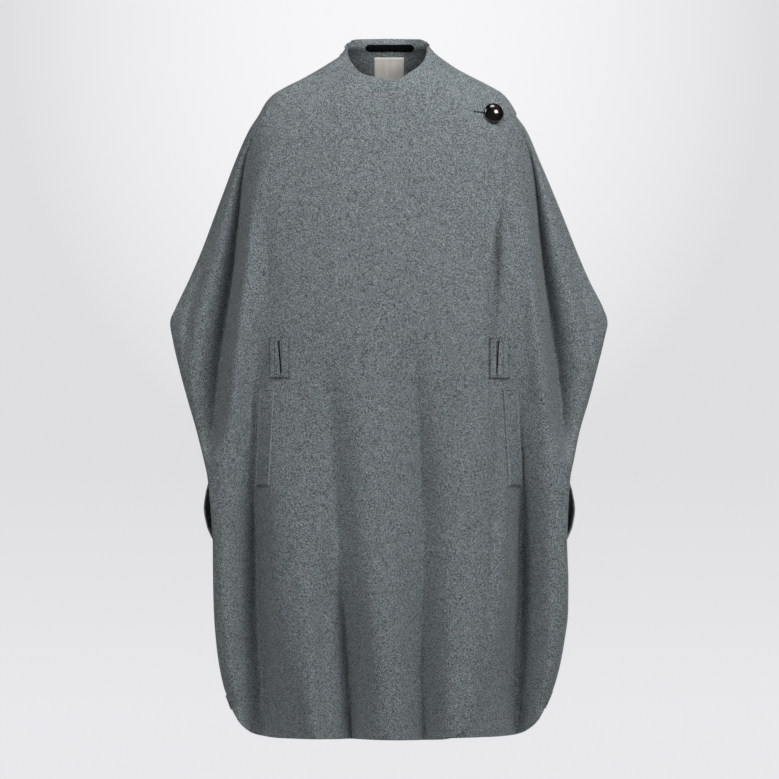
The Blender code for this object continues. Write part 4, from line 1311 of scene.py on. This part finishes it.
class COAT_OT_pockets(bpy.types.Operator):
    """Build the stitched slot patches and the pocket welts"""
    bl_idname = "coat.pockets"
    bl_label = "Slot patches and welts"

    def execute(self, context):
        wool = wool_look()
        runs, folds = [], []
        for hand, skin in (("left", chest_skin()), ("right", side_skin())):
            strip = SLOT_PATCHES["slot_patch_" + hand]
            patch = laid_piece("patch_" + hand, skin, strip, PATCH_MESH, lambda *edges: 0, patch_height, wool)
            cutter = slit_cutter("slot_cutter", skin, SLOTS[hand])
            cut(patch, cutter)
            bpy.data.objects.remove(cutter)
            settle(patch, "slot_patch_" + hand)
            self.declare(patch, strip, strip.width * MM)
            runs.append(run_on(skin, strip_corners(strip, PATCH_INSET, ("tl", "tr", "br", "bl", "tl")),
                               PATCH_GAP + PATCH_CLOTH * 0.9))
            s_left, s_right, t_top, t_low = LIPS[hand]
            lip = [strip_place(strip, *spot) for spot in (
                (s_left, t_top), (s_right, t_top), (s_right, t_low), (s_left, t_low), (s_left, t_top))]
            runs.append(run_on(skin, lip, PATCH_GAP + PATCH_CLOTH))
            welt_strip = WELTS["welt_" + hand]
            mouth_left = hand == "left"

            def height(left, right, end, mouth_left=mouth_left):
                return welt_height(*((left, right) if mouth_left else (right, left)), end)

            def under(left, right, end, mouth_left=mouth_left):
                return welt_lift(*((left, right) if mouth_left else (right, left)), end)
            welt = laid_piece("pocket_" + hand, skin, welt_strip, WELT_MESH, under, height, wool)
            settle(welt, "welt_" + hand)
            self.declare(welt, welt_strip, WELT_FLAT_WIDTH)
            for sides in (("tl", "tr"), ("bl", "br")):
                runs.append(run_on(skin, strip_corners(welt_strip, STITCH_INSET, sides),
                                   PATCH_GAP + PATCH_CLOTH * 0.9))
            # Runs for the pale pressed edges along both long sides of each welt; their paleness is a painted
            # highlight.
            for edge in (("tl", "bl"), ("tr", "br")):
                rise = WELT_OPENING if (edge[0] == "tl") == mouth_left else 0
                folds.append(run_on(skin, strip_corners(welt_strip, PATCH_INSET, edge),
                                    PATCH_GAP + PATCH_CLOTH + rise))
        # Dark thread: real topstitching, whose runs round the patches also stand for the painted shade line
        # along their edges.
        thread = sew("topstitching_and_edge_shade", runs, STITCH, STITCH, THREAD, thread_and_edge_shade_look())
        settle(thread, None)
        # Pale ridges on the welt edges, coloured as a painted highlight.
        fibres = sew("pressed_edges_painted_highlight", folds, STITCH * PRESSED_STEP, STITCH, PRESSED_EDGE, pressed_edge_highlight_look())
        settle(fibres, None)
        return {"FINISHED"}

    def declare(self, item, strip, width):
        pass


class COAT_OT_neck_trim(bpy.types.Operator):
    """Build the hanger tape and the bare label inside the back neck"""
    bl_idname = "coat.neck_trim"
    bl_label = "Hanger tape and label"

    def execute(self, context):
        skin = inside_back_skin()
        tape = laid_piece("black_tape", skin, TAPE, TAPE_MESH, lambda *edges: 0, flat_cloth(LABEL_CLOTH),
                          tape_look(), lambda t: TAPE_ROUNDING / TAPE.width * (2 * t - 1) ** 2)
        settle(tape, "hanger_tape")
        label = laid_piece("bare_label", skin, LABEL, LABEL_MESH, lambda *edges: 0, flat_cloth(LABEL_CLOTH),
                           label_look())
        settle(label, "neck_label")
        runs = [run_on(skin, strip_corners(LABEL, LABEL_INSET, ("tl", "tr")), PATCH_GAP + LABEL_CLOTH)]
        thread = sew("label_stitches", runs, LABEL_STITCH, LABEL_PITCH, LABEL_THREAD, label_look())
        settle(thread, None)
        return {"FINISHED"}


def button_turn():
    """Axes at the button: X to the viewer's right along the cloth, Z out along the button."""
    out = BUTTON_AXIS
    across = (Vector((1, 0, 0)) - out * out.x).normalized()
    up = out.cross(across)
    return Matrix((across, up, out)).transposed().to_4x4()


class COAT_OT_button(bpy.types.Operator):
    """Model the domed shank button"""
    bl_idname = "coat.button"
    bl_label = "Button"

    def execute(self, context):
        seat = chest_skin().point(*BUTTON_PLACE)
        back, edge = BUTTON_LIFT, BUTTON_LIFT + BUTTON_CHAMFER + BUTTON_EDGE
        base = (side_skin().point(seat.x, -seat.z) - seat).dot(BUTTON_AXIS) + SHANK_GAP
        rise = BUTTON_HEIGHT - BUTTON_CHAMFER - BUTTON_EDGE
        steps = [(SHANK_RADIUS, base), (SHANK_RADIUS, back), (BUTTON_BACK_RADIUS, back),
                 (BUTTON_RADIUS - 0.5 * MM, back + BUTTON_CHAMFER * 0.5),
                 (BUTTON_RADIUS, back + BUTTON_CHAMFER), (BUTTON_RADIUS, edge)]
        for step in range(1, DOME_STEPS):
            angle = math.radians(90 * step / DOME_STEPS)
            steps.append((BUTTON_RADIUS * math.cos(angle), edge + rise * math.sin(angle)))
        bpy.ops.object.select_all(action="DESELECT")
        bpy.ops.mesh.primitive_circle_add(
            vertices=BUTTON_SIDES, radius=SHANK_RADIUS, fill_type="NGON", location=(0, 0, base))
        button = bpy.context.object
        button.name = "horn_button"
        bpy.ops.object.transform_apply(location=True)
        bpy.ops.object.mode_set(mode="EDIT")
        bpy.ops.mesh.select_mode(type="FACE")
        bpy.ops.mesh.select_all(action="SELECT")
        for (r0, h0), (r1, h1) in zip(steps, steps[1:]):
            bpy.ops.mesh.extrude_region_move(TRANSFORM_OT_translate={"value": (0, 0, h1 - h0)})
            bpy.ops.transform.resize(value=(r1 / r0, r1 / r0, 1))
        bpy.ops.mesh.extrude_region_move(
            TRANSFORM_OT_translate={"value": (0, 0, edge + rise - steps[-1][1])})
        bpy.ops.mesh.merge(type="CENTER")
        bpy.ops.mesh.select_all(action="SELECT")
        bpy.ops.mesh.normals_make_consistent(inside=False)
        bpy.ops.object.mode_set(mode="OBJECT")
        button.data.transform(Matrix.Translation(seat) @ button_turn())
        button.data.materials.append(horn_look())
        pick(button)
        bpy.ops.object.shade_smooth_by_angle(angle=math.radians(40))
        settle(button, "button")
        return {"FINISHED"}


class COAT_OT_stage(bpy.types.Operator):
    """Set up the pale floor, the soft lights and the camera"""
    bl_idname = "coat.stage"
    bl_label = "Studio"

    def execute(self, context):
        studio = context.scene.coat_studio
        bpy.ops.object.select_all(action="DESELECT")
        bpy.ops.mesh.primitive_circle_add(
            vertices=96, radius=FLOOR_RADIUS, fill_type="NGON", location=(0, 0, -FLOOR_DROP))
        floor = context.object
        floor.name = "floor"
        look, tree, shader = new_look("floor_paper", Roughness=0.9)
        coords = on_object(tree)
        tone = ramp(tree, "paper", noise(tree, "paper grain", coords, 6, 2.0), [
            (0.3, (0.78, 0.78, 0.79)), (0.7, (0.80, 0.80, 0.81))])
        paint(tree, shader, tone)
        floor.data.materials.append(look)
        for lamp in LAMPS:
            self.light(lamp, getattr(studio, lamp.setting) * lamp.share)
        bpy.data.objects["key"].visible_glossy = False
        self.backdrop(context, studio)
        camera = bpy.data.objects.new("camera", bpy.data.cameras.new("camera"))
        context.collection.objects.link(camera)
        camera.location = (FRAME_MIDDLE[0], -studio.distance, FRAME_MIDDLE[1])
        camera.rotation_euler = (math.radians(90), 0, 0)
        camera.data.sensor_width = SENSOR
        camera.data.lens = SENSOR * studio.distance / FRAME_WIDTH
        camera.data.clip_end = CAMERA_REACH
        context.scene.camera = camera
        context.scene.view_settings.view_transform = "Standard"
        return {"FINISHED"}

    def light(self, lamp, power):
        data = bpy.data.lights.new(lamp.name, "AREA")
        data.shape, data.energy = "RECTANGLE" if lamp.size[0] < lamp.size[1] else "DISK", power
        data.size, data.size_y = lamp.size
        item = bpy.data.objects.new(lamp.name, data)
        bpy.context.collection.objects.link(item)
        item.location = lamp.place
        item.rotation_euler = (Vector(lamp.target) - Vector(lamp.place)).to_track_quat("-Z", "Y").to_euler()
        item.visible_camera = False

    def backdrop(self, context, studio):
        """Pale paper behind the coat, a little lighter toward the bottom; it also fills the shadows."""
        world = bpy.data.worlds.new("paper")
        context.scene.world = world
        world.use_nodes = True
        tree = world.node_tree
        shown = tree.nodes["Background"]
        ray = tree.nodes.new("ShaderNodeTexCoord").outputs["Generated"]
        height = add(tree, "ShaderNodeSeparateXYZ", "height", {"Vector": ray}).outputs["Z"]
        share = add(tree, "ShaderNodeMapRange", "down the frame", {
            "Value": height, "From Min": -0.021, "From Max": -0.005}).outputs["Result"]
        colour = ramp(tree, "paper", share, [(0.0, studio.paper_low), (1.0, studio.paper)])
        near = add(tree, "ShaderNodeMapping", "round the glow", {
            "Vector": ray, "Location": GLOW_PLACE, "Scale": GLOW_SCALE},
            vector_type="POINT").outputs["Vector"]
        square = add(tree, "ShaderNodeVectorMath", "distance squared", {0: near, 1: near},
                     operation="DOT_PRODUCT")
        glow = add(tree, "ShaderNodeMath", "glow", {0: 1.0, 1: square.outputs["Value"]},
                   operation="SUBTRACT", use_clamp=True).outputs[0]
        lit = tree.nodes.new("ShaderNodeMix")
        lit.data_type = "RGBA"
        lit.inputs[7].default_value = (*studio.paper_glow, 1)
        tree.links.new(glow, lit.inputs["Factor"])
        tree.links.new(colour, lit.inputs[6])
        tree.links.new(lit.outputs[2], shown.inputs["Color"])
        fill = add(tree, "ShaderNodeBackground", "fill", {
            "Color": (0.93, 0.97, 1.0, 1), "Strength": studio.fill})
        seen = tree.nodes.new("ShaderNodeLightPath").outputs["Is Camera Ray"]
        both = add(tree, "ShaderNodeMixShader", "seen or filling", {
            0: seen, 1: fill.outputs[0], 2: shown.outputs[0]})
        tree.links.new(both.outputs[0], tree.nodes["World Output"].inputs["Surface"])


class COAT_PT_panel(bpy.types.Panel):
    bl_label = "Wool cape coat"
    bl_space_type = "VIEW_3D"
    bl_region_type = "UI"
    bl_category = "Coat"

    def draw(self, context):
        for operator in PIECES:
            self.layout.operator(operator.bl_idname)
        for group in (context.scene.coat_wool, context.scene.coat_studio):
            column = self.layout.column()
            for name in group.bl_rna.properties.keys():
                if name not in ("rna_type", "name"):
                    column.prop(group, name)


PIECES = (
    COAT_OT_fronts, COAT_OT_backs, COAT_OT_pockets, COAT_OT_neck_trim, COAT_OT_button, COAT_OT_stage)
GROUPS = (WoolLook, StudioLook)


def register():
    for made in GROUPS + PIECES + (COAT_PT_panel,):
        bpy.utils.register_class(made)
    bpy.types.Scene.coat_wool = PointerProperty(type=WoolLook)
    bpy.types.Scene.coat_studio = PointerProperty(type=StudioLook)


def unregister():
    del bpy.types.Scene.coat_wool
    del bpy.types.Scene.coat_studio
    for made in reversed(GROUPS + PIECES + (COAT_PT_panel,)):
        bpy.utils.unregister_class(made)


def main():
    register()
    for operator in PIECES:
        group, name = operator.bl_idname.split(".")
        getattr(getattr(bpy.ops, group), name)()


if __name__ == "__main__":
    main()
